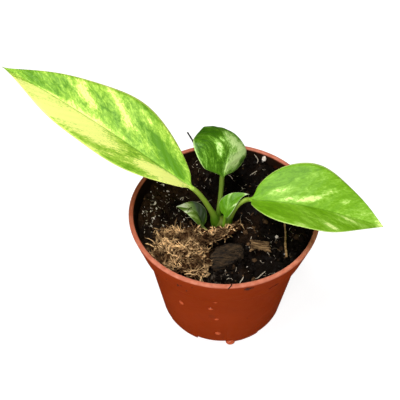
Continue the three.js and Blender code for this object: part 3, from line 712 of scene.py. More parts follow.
for step in range(loose_steps):
    share = step / (loose_steps - 1) - 0.5
    angle = heading + curve * share
    loose_paths[:, step, 0] = loose_places[:, 0] + share * loose_lengths * np.cos(angle)
    loose_paths[:, step, 1] = loose_places[:, 1] + share * loose_lengths * np.sin(angle)
loose_reach = np.hypot(loose_paths[..., 0], loose_paths[..., 1])
loose_paths[..., :2] *= np.minimum(1.0, loose_limit / loose_reach)[..., None]
for fibre in loose_paths:
    for point in fibre:
        point[2] = crumbly_height(point[0], point[1]) + 0.25
loose_radii = loose_thickness[:, None] * np.array([0.5, 1, 1, 1, 0.5])[None]
loose_fibres = strands("loose_fibres", loose_paths, loose_radii, loose_tones)

hand_laid = [
    [(12.1, 26.1), (14.1, 27.9), (16.0, 29.7), (18.0, 31.9)],
    [(14.0, 38.4), (15.5, 37.1), (16.0, 35.0), (15.5, 33.2)],
    [(1.3, 24.8), (2.6, 23.8), (3.8, 22.5), (4.8, 21.5)],
    [(11.2, -19.9), (11.6, -18.5), (12.0, -17.1), (12.3, -15.6)],
    [(19.0, -18.6), (19.9, -19.6), (20.8, -20.6), (21.3, -21.4)],
    [(2.0, -35.8), (2.9, -35.1), (4.0, -35.3), (4.7, -36.2)],
    [(7.9, -37.0), (8.4, -36.1), (9.0, -35.2), (9.5, -34.2)],
    [(14.1, -34.6), (15.9, -33.2), (17.7, -31.8), (19.4, -30.2)],
]
laid_steps = 12
laid_paths = np.array([
    bent_path([(x, y, crumbly_height(x, y) + 0.5) for x, y in fibre], laid_steps) for fibre in hand_laid
])
laid_taper = np.sin(np.linspace(0.5, math.pi - 0.5, laid_steps))[None]
laid_radii = np.ones((len(hand_laid), 1)) * 0.22 * laid_taper
laid_tones = [0.7, 0.6, 0.8, 0.5, 0.7, 0.6, 1.0, 0.7]
laid_fibres = strands("laid_fibres", laid_paths, laid_radii, laid_tones, sides=6)
hair_steps = 16
hair_points = [
    [(2.6, -41.6, 67.6), (4.1, -42.9, 68.25), (3.9, -44.0, 68.2), (2.7, -45.2, 67.4)],
    [(-14.8, -1.8, 71.8), (-16.4, -3.5, 71.9), (-17.2, -5.4, 71.0), (-18.3, -7.1, 69.8)],
]
hair_paths = np.array([bent_path(points, hair_steps) for points in hair_points])
hair_radii = np.array([[0.26], [0.16]]) * np.ones((1, hair_steps))
dark_hairs = strands("dark_hairs", hair_paths, hair_radii, [0.0, 0.0], sides=5)
# Dry threads: dull, from the white of bleached coir to the near black of old wet roots.
for piece in (loose_fibres, laid_fibres, dark_hairs):
    tree, thread = start_material("loose_plant_fibre", piece)
    tone = add_node(tree, "Attribute", attribute_name="tone")
    straw = add_node(tree, "Mix", (tone.outputs["Fac"], "#24150a", "#dccdb5"), data_type="RGBA")
    feed(thread, {"Base Color": straw, "Roughness": 0.8, "Specular IOR Level": 0.1})
    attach(piece, "root")


# Bark and twigs.
# A dark streaky chunk of bark beside the coir, a dry tan flake, a tan twig lying at the right and a thin dark
# stick that leans out of the soil at the back. All are plant waste that came with the soil.

bark_chunk = added(bpy.ops.mesh.primitive_ico_sphere_add, subdivisions=6, radius=1)
bark_chunk.name = "bark_chunk_dark"
chunk_place = Matrix.Translation(chunk_at) @ Matrix.Rotation(chunk_turn, 4, "Z")
chunk_long, chunk_wide, chunk_tall = chunk_half_sizes
for vertex in bark_chunk.data.vertices:
    spot = vertex.co.copy()
    grain_spot = Vector((spot.x * 1.6, spot.y * 6.0, spot.z * 6.0))
    split = 1 + 0.2 * noise.fractal(grain_spot, 0.5, 2.0, 6) + 0.08 * math.sin(7 * spot.y + 1.5 * spot.x)
    split += 0.22 * noise.fractal(spot * 1.7 + Vector((4, 0, 0)), 1.0, 2.0, 3)
    shaped = Vector((spot.x * chunk_long, spot.y * chunk_wide * split, spot.z * chunk_tall * split))
    vertex.co = (chunk_place @ shaped) * MM
bpy.ops.object.shade_smooth()

splinter_draw = np.random.default_rng(71)
splinter_count = 190
splinter_taper = np.array([0.4, 0.9, 1, 1, 1, 1, 0.8, 0.4])
splinter_steps = len(splinter_taper)
splinter_paths = np.empty((splinter_count, splinter_steps, 3))
for splinter in splinter_paths:
    start, length = splinter_draw.uniform(-0.95, 0.5), splinter_draw.uniform(0.25, 0.8)
    height, drift = splinter_draw.uniform(0.15, 2.9), splinter_draw.normal() * 0.25
    for step in range(splinter_steps):
        x = min(start + length * step / (splinter_steps - 1), 0.96)
        girth = math.sqrt(1 - x * x)
        turn = height + drift * step / (splinter_steps - 1)
        lift = 1.0 + 0.05 * splinter_draw.random()
        splinter[step] = chunk_place @ Vector((chunk_long * x, chunk_wide * girth * lift * math.cos(turn),
                                               chunk_tall * girth * lift * math.sin(turn)))
splinter_radii = splinter_draw.uniform(0.10, 0.26, (splinter_count, 1)) * splinter_taper
bark_splinters = strands("bark_splinters", splinter_paths, splinter_radii, [0.0] * splinter_count)

flake_outline = [
    (-4.4, -4.6), (-2.0, -1.7), (1.2, -2.5), (4.6, -4.2), (3.6, -0.3), (4.1, 3.0), (0.7, 3.8), (-4.3, 2.8),
]
flake_place = Matrix.Translation((17.0, -18.0, 64.6)) @ Matrix.Rotation(math.radians(-10), 4, "X")
flake_place = flake_place @ Matrix.Rotation(math.radians(8), 4, "Y")
bark_flake = added(bpy.ops.mesh.primitive_circle_add, vertices=len(flake_outline) * 12, radius=1,
                   fill_type="TRIFAN")
bark_flake.name = "bark_flake_tan"
bpy.ops.object.mode_set(mode="EDIT")
bpy.ops.mesh.select_all(action="SELECT")
bpy.ops.mesh.subdivide(number_cuts=7)
bpy.ops.object.mode_set(mode="OBJECT")
for vertex in bark_flake.data.vertices:
    reach = math.hypot(vertex.co.x, vertex.co.y)
    turn = (math.atan2(vertex.co.x, vertex.co.y) / (2 * math.pi)) % 1.0 * len(flake_outline)
    corner = int(turn) % len(flake_outline)
    start = Vector(flake_outline[corner])
    finish = Vector(flake_outline[(corner + 1) % len(flake_outline)])
    edge = start.lerp(finish, turn - int(turn))
    frayed = 1 + 0.22 * noise.fractal(Vector((edge.x, edge.y, 3.0)) * 0.9, 0.5, 2.0, 5) * reach ** 3
    x, y = edge.x * reach * frayed, edge.y * reach * frayed
    lift = 0.03 * x * x - 0.02 * y * y + 0.3 * noise.fractal(Vector((x * 0.35, y * 1.2, 1.0)), 0.8, 2.0, 4)
    vertex.co = (flake_place @ Vector((x, y, lift))) * MM
face_outwards(bark_flake)
flake_thickness = 0.7
apply_modifier(bark_flake, "SOLIDIFY", thickness=flake_thickness * MM, offset=0)
bpy.ops.object.shade_smooth()

stick_steps = 40
knots = np.linspace(0, 1, stick_steps)
twig_points = [(28.4, -3.9, 64.4), (28.7, -10.0, 64.1), (28.5, -16.5, 64.1), (28.9, -23.3, 63.9)]
stick_points = [(-8.6, 31.6, 62.0), (-12.4, 35.4, 68.0), (-16.4, 38.3, 75.0), (-19.3, 39.6, 80.0)]
twig_radii = 0.40 + 0.18 * knots + 0.06 * np.sin(31 * knots) + 0.05 * np.sin(73 * knots + 1)
stick_radii = 0.50 - 0.10 * knots + 0.03 * np.sin(40 * knots)
twig = strands("twig_tan", bent_path(twig_points, stick_steps)[None], twig_radii[None], [0.6], sides=10)
stick = strands("stick_dark", bent_path(stick_points, stick_steps)[None], stick_radii[None], [0.2], sides=8)

# Dead wood and bark: dull, with long grain in streaks of a millimetre and less, darker where it is damp. The
# grain follows the chunk, which lies aslant.
bark_looks = [
    (bark_chunk, "damp_dark_bark", "#0c0703", "#42311e", 0.9, "bark_chunk", "dark_bark"),
    (bark_splinters, "frayed_dark_bark", "#120b05", "#503e29", 0.9, "bark_chunk", "dark_bark"),
    (bark_flake, "dry_tan_bark", "#38240f", "#94754f", 0.85, "bark_flake", "pale_bark"),
    (twig, "dry_twig", "#7c5c36", "#cfa873", 0.7, "twig_right", "twig"),
    (stick, "weathered_stick", "#23231f", "#5c5b54", 0.7, "twig_back", "dark_twig"),
]
for piece, name, dark, light, roughness, node_name, slot_name in bark_looks:
    tree, wood = start_material(name, piece)
    place = add_node(tree, "TexCoord").outputs["Object"]
    turned = add_node(tree, "Mapping",
                      {"Vector": place, "Rotation": (0, 0, math.radians(-38)), "Scale": (0.25, 1.6, 1.0)})
    grain = add_node(tree, "TexNoise", {"Vector": turned, "Scale": 700.0, "Detail": 5.0, "Roughness": 0.65})
    streak = add_node(tree, "MapRange", (grain, 0.4, 0.66))
    colour = add_node(tree, "Mix", (streak, dark, light), data_type="RGBA")
    relief = add_node(tree, "Bump", {"Height": grain, "Strength": 0.5, "Distance": 0.0004})
    feed(wood, {"Base Color": colour, "Normal": relief, "Roughness": roughness, "Specular IOR Level": 0.25})
    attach(piece, "root")
    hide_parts(node_name)


# The crown.
# The short, fleshy stem that the petioles grow from, with rests of brown sheath round it. It stands in the
# soil and narrows into its root end.

crown_section = [
    (0.001, 0, 46), (1.5, 0, 46.2), (2.6, 0, 52), (4.1, 0, 59), (4.5, 0, 62.5), (4.1, 0, 65.2),
    (3.1, 0, 67.2), (1.8, 0, 68.3), (0.001, 0, 68.7),
]
crown_rings = []
for radius, _, level in bent_path(crown_section, 60):
    ring = []
    for a in np.linspace(0, 2 * math.pi, 48, endpoint=False):
        ribs = 0.06 * math.sin(3 * a + level) + 0.025 * math.sin(11 * a + 2 * level)
        ribbed = max(radius, 0.001) * (1 + ribs)
        ring.append((crown_at[0] + ribbed * math.cos(a), crown_at[1] + ribbed * math.sin(a), level))
    crown_rings.append(ring)
crown = rolled_grid("crown_stem", np.array(crown_rings))
# Living stem: soft green skin, olive brown in blotches of a few millimetres where old sheath clings to it.
tree, stem_skin = start_material("fleshy_green_stem", crown)
place = add_node(tree, "TexCoord").outputs["Object"]
blotch = add_node(tree, "TexNoise", {"Vector": place, "Scale": 260.0, "Detail": 4.0})
sheath = add_node(tree, "MapRange", (blotch, 0.45, 0.6))
green_brown = add_node(tree, "Mix", (sheath, "#345706", "#4a5810"), data_type="RGBA")
feed(stem_skin, {"Base Color": green_brown, "Roughness": 0.6, "Specular IOR Level": 0.2})
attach(crown, "root")
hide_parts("crown")


# The leaves.
# Each blade and its petiole grew as one piece: the round petiole widens into the blade's base and runs on
# under it as the midrib. One grid is rolled into that shape, thin at the margins and sunk along the midrib on
# top, with side veins 3 to 7 mm apart standing lightly in its surface.

leaf_shapes = {
    "leaf_long_left": {
        "midrib": [(-14.2, -3.1, 85.3), (-43.0, 7.6, 100.8), (-68.7, 24.2, 107.9), (-106.3, 44.6, 114.0)],
        "petiole": [
            (-3.1, -6.2, 61.0), (-4.2, -5.9, 68.3), (-5.4, -5.7, 72.2), (-8.9, -5.0, 79.3),
            (-11.7, -4.2, 83.3),
        ],
        "half_width": 21.4, "fullness": (0.93, 1.17), "faces": ((0.02, 0.07, 1), (0.12, 0.04, 0.99)),
        "fold": (19, 18), "curl": 1, "wave": 0.5, "radii": (1.35, 1.1, 0.3), "veins": 15,
    },
    "leaf_broad_right": {
        "midrib": [(11.4, -2.6, 78.9), (32.1, -8.6, 85.4), (48.5, -8.3, 78.8), (72.1, -12.1, 74.0)],
        "petiole": [
            (1.5, -5.9, 61.0), (1.9, -5.8, 67.8), (3.2, -5.6, 71.1), (5.7, -4.8, 76.6), (8.8, -3.8, 79.3),
        ],
        "half_width": 20.4, "fullness": (0.77, 1.09), "faces": ((0.07, -0.02, 1), (0.04, -0.14, 0.99)),
        "fold": (25, 25), "curl": 2, "wave": 0.4, "radii": (1.3, 1.05, 0.3), "veins": 12,
    },
    "leaf_round_back": {
        "midrib": [(-1.5, 3.8, 86.8), (2.7, 11.5, 98.9), (-0.6, 22.6, 101.5), (-10.9, 30.9, 92.1)],
        "petiole": [
            (-1.7, -2.7, 61.0), (-2.8, -3.0, 65.7), (-2.6, -2.2, 70.5), (-2.1, -0.4, 75.5), (-1.7, 2.0, 81.1),
        ],
        "half_width": 16.0, "fullness": (0.34, 0.53), "faces": ((0.6, 0, 0.8), (0.31, -0.12, 0.94)),
        "fold": (-4, -11), "curl": 18, "wave": 0.2, "radii": (1.1, 1.12, 0.25), "veins": 8,
    },
    "leaf_young_centre": {
        "midrib": [(0.5, -6.8, 71.4), (2.1, -5.4, 76.5), (4.9, -2.0, 81.6), (11.1, -2.4, 82.2)],
        "petiole": [(-0.5, -8.2, 61.0), (0.0, -8.3, 66.5)],
        "half_width": 5.3, "fullness": (0.63, 1.5), "faces": ((-0.56, -0.29, 0.78), (0.01, -0.34, 0.94)),
        "fold": (31, 40), "curl": 14, "wave": 0.0, "radii": (1.0, 0.75, 0.15), "veins": 6,
    },
    "leaf_young_low": {
        "midrib": [(-9.9, -7.5, 64.4), (-12.4, -2.9, 72.2), (-15.3, -2.4, 71.4), (-22.6, -1.0, 70.6)],
        "petiole": [(-6.6, -8.4, 58.0), (-7.8, -8.3, 61.8)],
        "half_width": 4.4, "fullness": (0.66, 1.1), "faces": ((0.28, -0.43, 0.86), (-0.02, -0.48, 0.87)),
        "fold": (32, 22), "curl": 10, "wave": 0.0, "radii": (0.9, 0.8, 0.2), "veins": 6,
    },
}
blade_rows = 120
petiole_rows = 36
across_steps = 30
blade_thickness = 0.55
margin_thickness = 0.22
vein_height = 0.09
groove_depth = 0.32
vein_slope = math.radians(23)


def unit(vector):
    return vector / (np.linalg.norm(vector) + 1e-12)


def spread(q):
    """A column's place across the leaf: the columns stand closer together towards the midrib."""
    return math.copysign(abs(q) ** 1.35, q)


def blade_frame(shape, share):
    """The midrib's place with the upward, rightward and forward directions of the blade there."""
    p = np.array(shape["midrib"])
    rest = 1 - share
    place = rest ** 3 * p[0] + 3 * rest ** 2 * share * p[1] + 3 * rest * share ** 2 * p[2] + share ** 3 * p[3]
    ahead = unit(rest ** 2 * (p[1] - p[0]) + 2 * rest * share * (p[2] - p[1]) + share ** 2 * (p[3] - p[2]))
    up = unit(np.array(shape["faces"][0]) * rest + np.array(shape["faces"][1]) * share)
    up = unit(up - up.dot(ahead) * ahead)
    return place, up, np.cross(ahead, up), ahead


def outline(shape, share):
    """Half the blade's width at a share of its length, as a share of the greatest."""
    base, tip = shape["fullness"]
    widest = base / (base + tip)
    return (share / widest) ** base * (max(1 - share, 0) / (1 - widest)) ** tip


def smooth(low, high, value):
    """An eased step from 0 at one value to 1 at another."""
    value = min(max((value - low) / (high - low), 0.0), 1.0)
    return value * value * (3 - 2 * value)


def blade_ring(shape, share, where):
    """One section of the blade: its upper face from left margin to right, then its lower face back."""
    place, up, right, _ = blade_frame(shape, share)
    _, neck, end = shape["radii"]
    rib = neck + (end - neck) * min(share / 0.85, 1.0) if share < 0.85 else end * (1 - share) / 0.15
    rib = max(rib, 0.02)
    half_width = max(shape["half_width"] * outline(shape, share), 0.02)
    blend = smooth(0.0, 0.05, share)
    curl = math.radians(shape["curl"])
    ring = []
    for q, upper in where:
        s = spread(q)
        reach = abs(s)
        fold = math.radians(shape["fold"][1 if s > 0 else 0])
        sideways = (math.sin(fold) - math.sin(fold - curl * reach)) / curl
        rise = (math.cos(fold - curl * reach) - math.cos(fold)) / curl
        x = half_width * sideways * math.copysign(1, s)
        z = half_width * rise
        z += shape["wave"] * reach ** 2 * math.sin(5 * math.pi * share + (1.2 if s > 0 else 0))
        vein = math.cos(2 * math.pi * shape["veins"] * (share - 0.30 * reach ** 1.3 * (1 - 0.5 * share)))
        vein *= vein_height * smooth(0.02, 0.2, reach) * smooth(1.0, 0.75, reach)
        z += vein * min(1.0, half_width / 6)
        half = 0.5 * (margin_thickness + (blade_thickness - margin_thickness) * smooth(1.0, 0.8, reach))
        half *= smooth(1.02, 0.9, share) * 0.8 + 0.2
        distance = abs(x) / rib
        if upper:
            z += half - groove_depth * rib * math.exp(-(x / (0.55 * rib)) ** 2)
        else:
            z -= max(half, rib * math.sqrt(max(1 - distance ** 2, 0)) + 0.2 * half)
        round_x = rib * math.sin(q * math.pi / 2)
        round_z = rib * math.cos(q * math.pi / 2) * (1 if upper else -1)
        x = round_x + (x - round_x) * blend
        z = round_z + (z - round_z) * blend
        ring.append(place + right * x + up * z)
    return ring


def grow_leaf(name, shape):
    """The leaf as one rolled grid, with its places along and across kept as attributes for its markings."""
    columns = np.linspace(-1, 1, across_steps + 1)
    where = [(q, True) for q in columns] + [(q, False) for q in columns[::-1]]
    foot, neck, _ = shape["radii"]
    place, up, _, _ = blade_frame(shape, 0.0)
    path = bent_path([*shape["petiole"], shape["midrib"][0], blade_frame(shape, 0.06)[0]], 8 * petiole_rows)
    gaps = np.linalg.norm(path - place, axis=1)
    path = path[:int(gaps.argmin())]
    path = path[np.linspace(0, len(path) - 1, petiole_rows).astype(int)]
    # A mark is a place along and across the leaf, and a flow one along and across its side veins in mm.
    rings, marks, flows = [], [], []
    directions = np.gradient(path, axis=0)
    ups = [up]
    for direction in directions[::-1]:
        direction = unit(direction)
        ups.append(unit(ups[-1] - ups[-1].dot(direction) * direction))
    for row, (centre, direction) in enumerate(zip(path, directions)):
        share = row / petiole_rows
        radius = foot * (1 + 0.75 * (1 - smooth(0.12, 0.5, share))) + (neck - foot) * share
        lift = ups[petiole_rows - row]
        aside = np.cross(unit(direction), lift)
        angle = [q * math.pi / 2 for q, _ in where]
        rings.append([centre + radius * (math.sin(a) * aside + math.cos(a) * lift * (1 if upper else -1))
                      for a, (_, upper) in zip(angle, where)])
        marks.append([(share - 1, q, 0.0) for q, _ in where])
        flows.append([(radius * q, 30 * share, 0.0) for q, _ in where])
    midrib = np.array([blade_frame(shape, k / 50)[0] for k in range(51)])
    length = np.linalg.norm(np.diff(midrib, axis=0), axis=1).sum()
    for row in range(blade_rows + 1):
        share = min((row / blade_rows) ** 1.12, 0.9995)
        rings.append(blade_ring(shape, share, where))
        marks.append([(share, spread(q), 0.0) for q, _ in where])
        half_width = shape["half_width"] * outline(shape, share)
        flows.append([])
        for q, _ in where:
            off = abs(spread(q)) * half_width
            flows[-1].append((share * length * math.cos(vein_slope) + off * math.sin(vein_slope),
                              off * math.cos(vein_slope) - share * length * math.sin(vein_slope),
                              40.0 if q > 0 else 0.0))
    return rolled_grid(name, np.array(rings), {"leaf": np.array(marks), "flow": np.array(flows)})


leaf_pieces = {name: grow_leaf(name.replace("leaf_", "blade_"), shape) for name, shape in leaf_shapes.items()}


def paint_patches(piece, patches):
    """Keeps how pale the leaf is at each corner, from soft patches that lie along the side veins.

    A patch is its place along and across the leaf, its reach along and across the veins in mm, and its
    weight."""
    mesh = piece.data
    marks = np.empty(len(mesh.vertices) * 3)
    mesh.attributes["leaf"].data.foreach_get("vector", marks)
    along, across, _ = marks.reshape(-1, 3).T
    flow = np.empty(len(mesh.vertices) * 3)
    mesh.attributes["flow"].data.foreach_get("vector", flow)
    flow = flow.reshape(-1, 3)
    pale = np.zeros(len(along))
    for t, s, reach_along, reach_across, weight in patches:
        side = across * s > 0 if abs(s) > 0.02 else np.ones(len(along), bool)
        middle = flow[np.argmin((along - t) ** 2 + (across - s) ** 2)]
        shift = flow - middle
        soft = np.exp(-(shift[:, 0] / reach_along) ** 2 - (shift[:, 1] / reach_across) ** 2)
        pale += weight * soft * np.where(side, 1.0, np.clip(1 - np.abs(across) * 8, 0, 1))
    attribute = mesh.attributes.new("pale", "FLOAT", "POINT")
    attribute.data.foreach_set("value", pale)


# Where each leaf is paler or, with a weight below zero, greener than its ground. A few patches are painted
# light
# instead: painted highlights on the round leaf and painted shade on the young low leaf, as marked below.
pale_patches = {
    "leaf_long_left": [
        (0.17, 0.35, 13, 3.2, -0.5), (0.08, 0.15, 6, 2.0, -0.35), (0.27, 0.55, 7, 2.0, -0.45),
        (0.22, 0.08, 9, 1.4, -0.15), (0.12, 0.12, 4, 1.2, 0.2), (0.33, 0.72, 11, 1.2, 0.55),
        (0.2, 0.88, 12, 1.6, 0.25), (0.27, 0.25, 5, 1.2, 0.25), (0.4, 0.9, 11, 1.6, -0.35),
        (0.36, 0.55, 6, 1.1, -0.2), (0.43, 0.4, 5, 1.8, 0.45), (0.5, 0.66, 9, 1.2, 0.5),
        (0.57, 0.88, 5, 1.2, 0.3), (0.52, 0.35, 7, 2.6, -0.22), (0.4, 0.15, 9, 1.8, -0.12),
        (0.62, 0.65, 4, 1.4, -0.18), (0.6, 0.33, 5, 1.8, 0.35), (0.66, 0.56, 6, 1.8, 0.48),
        (0.69, 0.82, 4, 1.5, 0.35), (0.74, 0.66, 6, 2.6, -0.25), (0.76, 0.3, 8, 2.6, -0.15),
        (0.87, 0.42, 12, 3.6, -0.28), (0.78, 0.98, 16, 0.9, 0.4), (0.66, 0.12, 5, 2.0, 0.15),
        (0.14, -0.35, 14, 3.2, 0.85), (0.22, -0.38, 8, 2.6, 0.5), (0.1, -0.8, 10, 3.0, 0.75),
        (0.29, -0.82, 8, 2.0, -0.22), (0.31, -0.35, 3.2, 4.2, -0.1), (0.39, -0.4, 6, 3.4, 0.32),
        (0.48, -0.5, 9, 5.0, 0.6), (0.62, -0.42, 18, 8.0, 0.85), (0.8, -0.42, 14, 5.5, 0.62),
        (0.72, -0.78, 16, 4.0, 0.45), (0.9, -0.7, 12, 3.4, 0.5), (0.43, -0.9, 10, 1.6, 0.28),
        (0.72, -0.15, 4, 1.0, -0.25), (0.86, -0.06, 12, 0.9, -0.35), (0.98, 0.1, 4, 5.0, 0.1),
    ],
    "leaf_broad_right": [
        (0.24, -0.06, 4, 0.7, 0.4), (0.31, -0.09, 4, 0.7, 0.5), (0.38, -0.12, 4, 0.8, 0.6),
        (0.45, -0.16, 4, 1.0, 0.7), (0.51, -0.2, 3, 0.9, 0.5), (0.22, -0.28, 6, 1.5, 0.38),
        (0.2, -0.36, 4, 0.7, 0.3), (0.62, 0.78, 3.4, 1.8, 0.7), (0.41, 0.9, 3.4, 1.1, 0.5),
        (0.66, 0.38, 4.0, 0.8, 0.4), (0.75, 0.22, 4.0, 0.8, 0.4), (0.72, -0.45, 2.0, 1.0, 0.6),
        (0.6, -0.52, 4.0, 0.7, 0.45), (0.45, -0.72, 4.0, 0.8, 0.35), (0.58, 0.3, 2.5, 0.8, 0.3),
        (0.42, -0.38, 3.0, 0.7, 0.3), (0.55, -0.36, 3.5, 0.6, 0.3), (0.33, -0.55, 3.5, 0.6, 0.25),
        (0.18, 0.55, 9, 4.0, -0.18), (0.5, 0.12, 16, 1.5, -0.22), (0.3, 0.3, 12, 2.4, -0.15),
        (0.4, 0.62, 12, 1.2, -0.15), (0.12, -0.4, 5, 2.4, -0.15), (0.32, -0.75, 9, 2.4, -0.15),
        (0.3, -0.48, 8, 1.5, -0.12), (0.98, 0.02, 2.0, 3.0, 0.7), (0.45, 0.72, 8, 1.0, 0.2),
        (0.8, 0.4, 8, 4.0, 0.24), (0.85, -0.3, 9, 3.4, 0.2), (0.45, 0.45, 18, 6.0, 0.1),
        (0.55, 0.55, 8, 0.8, 0.16), (0.25, 0.8, 4, 0.8, 0.25),
    ],
    "leaf_round_back": [
        (0.2, 0.4, 5, 4.0, 0.5), (0.45, 0.75, 7, 4.0, 0.4), (0.38, 0.5, 12, 7.0, 0.42),
        (0.3, 0.6, 4, 1.6, 0.4), (0.5, 0.35, 5, 3.0, 0.6), (0.24, 0.8, 3, 1.6, -0.3),
        (0.54, 0.55, 4, 1.2, -0.35), (0.42, 0.92, 5, 1.2, 0.45), (0.36, 0.42, 2.6, 2.4, -0.4),
        # The small pale patch at 0.1 along by the midrib, and the four small pale ones just left of the
        # midrib from 0.27 to 0.5 along, are painted highlights of the gloss.
        (0.33, 0.06, 6, 1.0, -0.25), (0.1, 0.1, 3, 1.4, 0.45), (0.62, 0.15, 5, 2.0, 0.4),
        (0.4, -0.22, 3.0, 1.2, 0.65), (0.34, -0.32, 2.2, 1.0, 0.45), (0.5, -0.12, 2.4, 1.0, 0.4),
        (0.27, -0.2, 2.0, 1.2, 0.3), (0.75, -0.35, 9, 4.0, -0.3), (0.5, -0.55, 9, 2.4, -0.1),
        (0.3, -0.97, 9, 0.7, 0.4), (0.12, -0.45, 3, 1.4, 0.12), (0.66, -0.62, 7, 1.0, 0.16),
    ],
    "leaf_young_centre": [
        (0.5, 0.75, 5, 0.8, 0.45), (0.35, -0.1, 2, 0.8, 0.25), (0.98, 0.02, 1.6, 2.0, 0.8),
        (0.6, -0.9, 6, 0.5, 0.35), (0.3, 0.4, 3, 1.0, -0.15), (0.5, -0.4, 3, 1.2, -0.15),
    ],
    "leaf_young_low": [
        (0.95, 0.05, 2.0, 3.0, 0.85), (0.7, -0.85, 4, 0.9, 0.6), (0.75, 0.1, 3, 2.4, 0.35),
        # The two patches of weight below zero on the right half are painted shade, where the long leaf's
        # shadow falls.
        (0.3, 0.45, 5, 2.4, -0.5), (0.45, 0.8, 5, 1.2, -0.45), (0.45, -0.8, 5, 0.7, 0.3),
    ],
}

# A waxy living leaf: chlorophyll green through the blade, cream where the cells hold none, marbled along the
# side veins in streaks of 2 by 7 mm and flecks of 1 to 2 mm, with a thin pale margin. IOR 1.45 is the
# cuticle's. The greens run from deep to pale and the last one is the cream, then come the stalk's green, the
# roughness, the slot, how pale the ground is and how strongly it is marbled.
leaf_looks = {
    "leaf_long_left": ("marbled_leaf", ("#558c08", "#80b22c", "#b2d94c", "#f9ff8c"), "#78922c", 0.42,
                       "leaf_long", 0.34, 0.62),
    "leaf_broad_right": ("streaked_leaf", ("#5a8e04", "#74a918", "#97c744", "#d9f08a"), "#86a334", 0.45,
                         "leaf_broad", 0.24, 0.44),
    "leaf_round_back": ("glossy_leaf", ("#33600a", "#4f8014", "#98cf54", "#d8f89c"), "#647d28", 0.30,
                        "leaf_round", 0.20, 0.56),
    "leaf_young_centre": ("soft_young_leaf", ("#467404", "#558a0e", "#80b040", "#dcecb8"), "#5f8419", 0.32,
                          "leaf_young", 0.30, 0.3),
    # The young low leaf's deepest green, near black, is painted shade for the parts of it that lie in the
    # long leaf's shadow.
    "leaf_young_low": ("dark_young_leaf", ("#1c3002", "#48680c", "#869e50", "#cdd7b0"), "#5f782e", 0.45,
                       "leaf_dark", 0.34, 0.3),
}
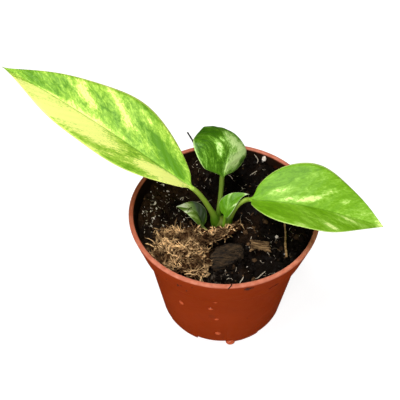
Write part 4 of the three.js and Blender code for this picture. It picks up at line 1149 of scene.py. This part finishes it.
# Where the greens lie between the deepest and the cream.
green_places = (0.0, 0.28, 0.55, 0.82)
for node_name, (name, greens, stalk, roughness, slot_name, ground, marbling) in leaf_looks.items():
    piece = leaf_pieces[node_name]
    paint_patches(piece, pale_patches[node_name])
    tree, cuticle = start_material(name, piece)
    marks = add_node(tree, "Attribute", attribute_name="leaf").outputs["Vector"]
    along_across = add_node(tree, "SeparateXYZ", (marks,))
    along, across = along_across.outputs["X"], along_across.outputs["Y"]
    flow = add_node(tree, "Attribute", attribute_name="flow").outputs["Vector"]
    pale = add_node(tree, "Attribute", attribute_name="pale").outputs["Fac"]
    streak_place = add_node(tree, "Mapping", {"Vector": flow, "Scale": (0.15, 0.42, 1.0)})
    streaks = add_node(tree, "TexNoise", {"Vector": streak_place, "Scale": 1.0, "Detail": 5.0,
                                          "Roughness": 0.68, "Distortion": 1.2})
    fleck_place = add_node(tree, "Mapping", {"Vector": flow, "Scale": (0.42, 0.95, 1.0)})
    flecks = add_node(tree, "TexNoise", {"Vector": fleck_place, "Scale": 1.5, "Detail": 6.0,
                                         "Roughness": 0.75, "Distortion": 0.4})
    streaked = add_node(tree, "Math", (streaks, 2.4 * marbling, ground - 1.2 * marbling),
                        operation="MULTIPLY_ADD")
    flecked = add_node(tree, "Math", (flecks, 2.0 * marbling, -1.0 * marbling), operation="MULTIPLY_ADD")
    mottle = add_node(tree, "Math", (streaked, flecked), operation="ADD")
    broken = add_node(tree, "Math", (flecks, 2.0, -0.05), operation="MULTIPLY_ADD")
    patched = add_node(tree, "Math", (broken, pale), operation="MULTIPLY")
    amount = add_node(tree, "Math", (mottle, patched), operation="ADD")
    marbled = add_node(tree, "ValToRGB", (amount,))
    stops = marbled.color_ramp.elements
    stops[1].position = green_places[3]
    for at, green in zip(green_places, greens):
        stop = stops[0] if at == green_places[0] else stops[-1] if at == green_places[3] else stops.new(at)
        stop.color = linear(green)
    off_midrib = add_node(tree, "Math", (across,), operation="ABSOLUTE")
    vein_line = add_node(tree, "MapRange", (off_midrib, 0.004, 0.02, 0.6, 0.0))
    with_rib = add_node(tree, "Mix", (vein_line, marbled, greens[0]), data_type="RGBA")
    edge = add_node(tree, "MapRange", (off_midrib, 0.955, 0.99, 0.0, 0.55), interpolation_type="SMOOTHSTEP")
    edged = add_node(tree, "Mix", (edge, with_rib, greens[3]), data_type="RGBA")
    on_stalk = add_node(tree, "MapRange", (along, -0.05, 0.04, 1.0, 0.0), interpolation_type="SMOOTHSTEP")
    up_stalk = add_node(tree, "MapRange", (along, -0.75, -0.45), interpolation_type="SMOOTHSTEP")
    stalk_green = add_node(tree, "Mix", (up_stalk, "#44690c", stalk), data_type="RGBA")
    whole = add_node(tree, "Mix", (on_stalk, edged, stalk_green), data_type="RGBA")
    fine = add_node(tree, "Mapping", {"Vector": flow, "Scale": (0.6, 2.4, 1.0)})
    ripple = add_node(tree, "TexNoise", {"Vector": fine, "Scale": 1.4, "Detail": 3.0})
    surface = add_node(tree, "Bump", {"Height": ripple, "Strength": 0.35, "Distance": 0.0004})
    feed(cuticle, {"Base Color": whole, "Normal": surface, "Roughness": roughness, "Specular IOR Level": 0.3,
                   "IOR": 1.45})
    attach(piece, "root")
    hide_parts(node_name)


# Studio.
# A plain white floor, a soft key light above and a weaker one in front, as for a catalogue picture, with a
# camera that looks down at the pot from the front. The floor is matt paint that glows a little, so it stays
# white, and the room is bright above and dark below.

floor = added(bpy.ops.mesh.primitive_plane_add, size=3.0, location=(0, 0, -0.0002))
floor.name = "studio_floor"
floor.visible_glossy = False
tree, paint = start_material("white_floor", floor)
feed(paint, {"Base Color": "#8c8c8c", "Roughness": 0.9, "Emission Color": "#ffffff",
             "Emission Strength": 0.9})

world = bpy.data.worlds.new("soft_white_room")
bpy.context.scene.world = world
world.use_nodes = True
tree = world.node_tree
way = add_node(tree, "TexCoord").outputs["Generated"]
rise = add_node(tree, "SeparateXYZ", (way,)).outputs["Z"]
room = add_node(tree, "MapRange", (rise, -0.1, 0.25, 0.02, 0.5))
feed(tree.nodes["Background"], {"Strength": room})

lit_place = Vector((0, 0, 0.07))
key_place, fill_place = Vector((-0.16, -0.08, 0.82)), Vector((-0.17, -0.60, 0.48))
for place, size, energy in ((key_place, 0.5, 6.8), (fill_place, 0.3, 2.8)):
    light = added(bpy.ops.object.light_add, type="AREA", location=place)
    light.data.shape = "DISK"
    light.data.size = size
    light.data.energy = energy
    light.rotation_euler = (lit_place - place).to_track_quat("-Z", "Y").to_euler()

camera_forward = Vector((-0.02887652, 0.67057616, -0.74127846))
camera = added(bpy.ops.object.camera_add, location=(0.0, -0.26505, 0.36758),
               rotation=camera_forward.to_track_quat("-Z", "Y").to_euler())
camera.data.sensor_width = 36.0
camera.data.lens = 76.7
bpy.context.scene.camera = camera
bpy.context.scene.view_settings.view_transform = "Standard"
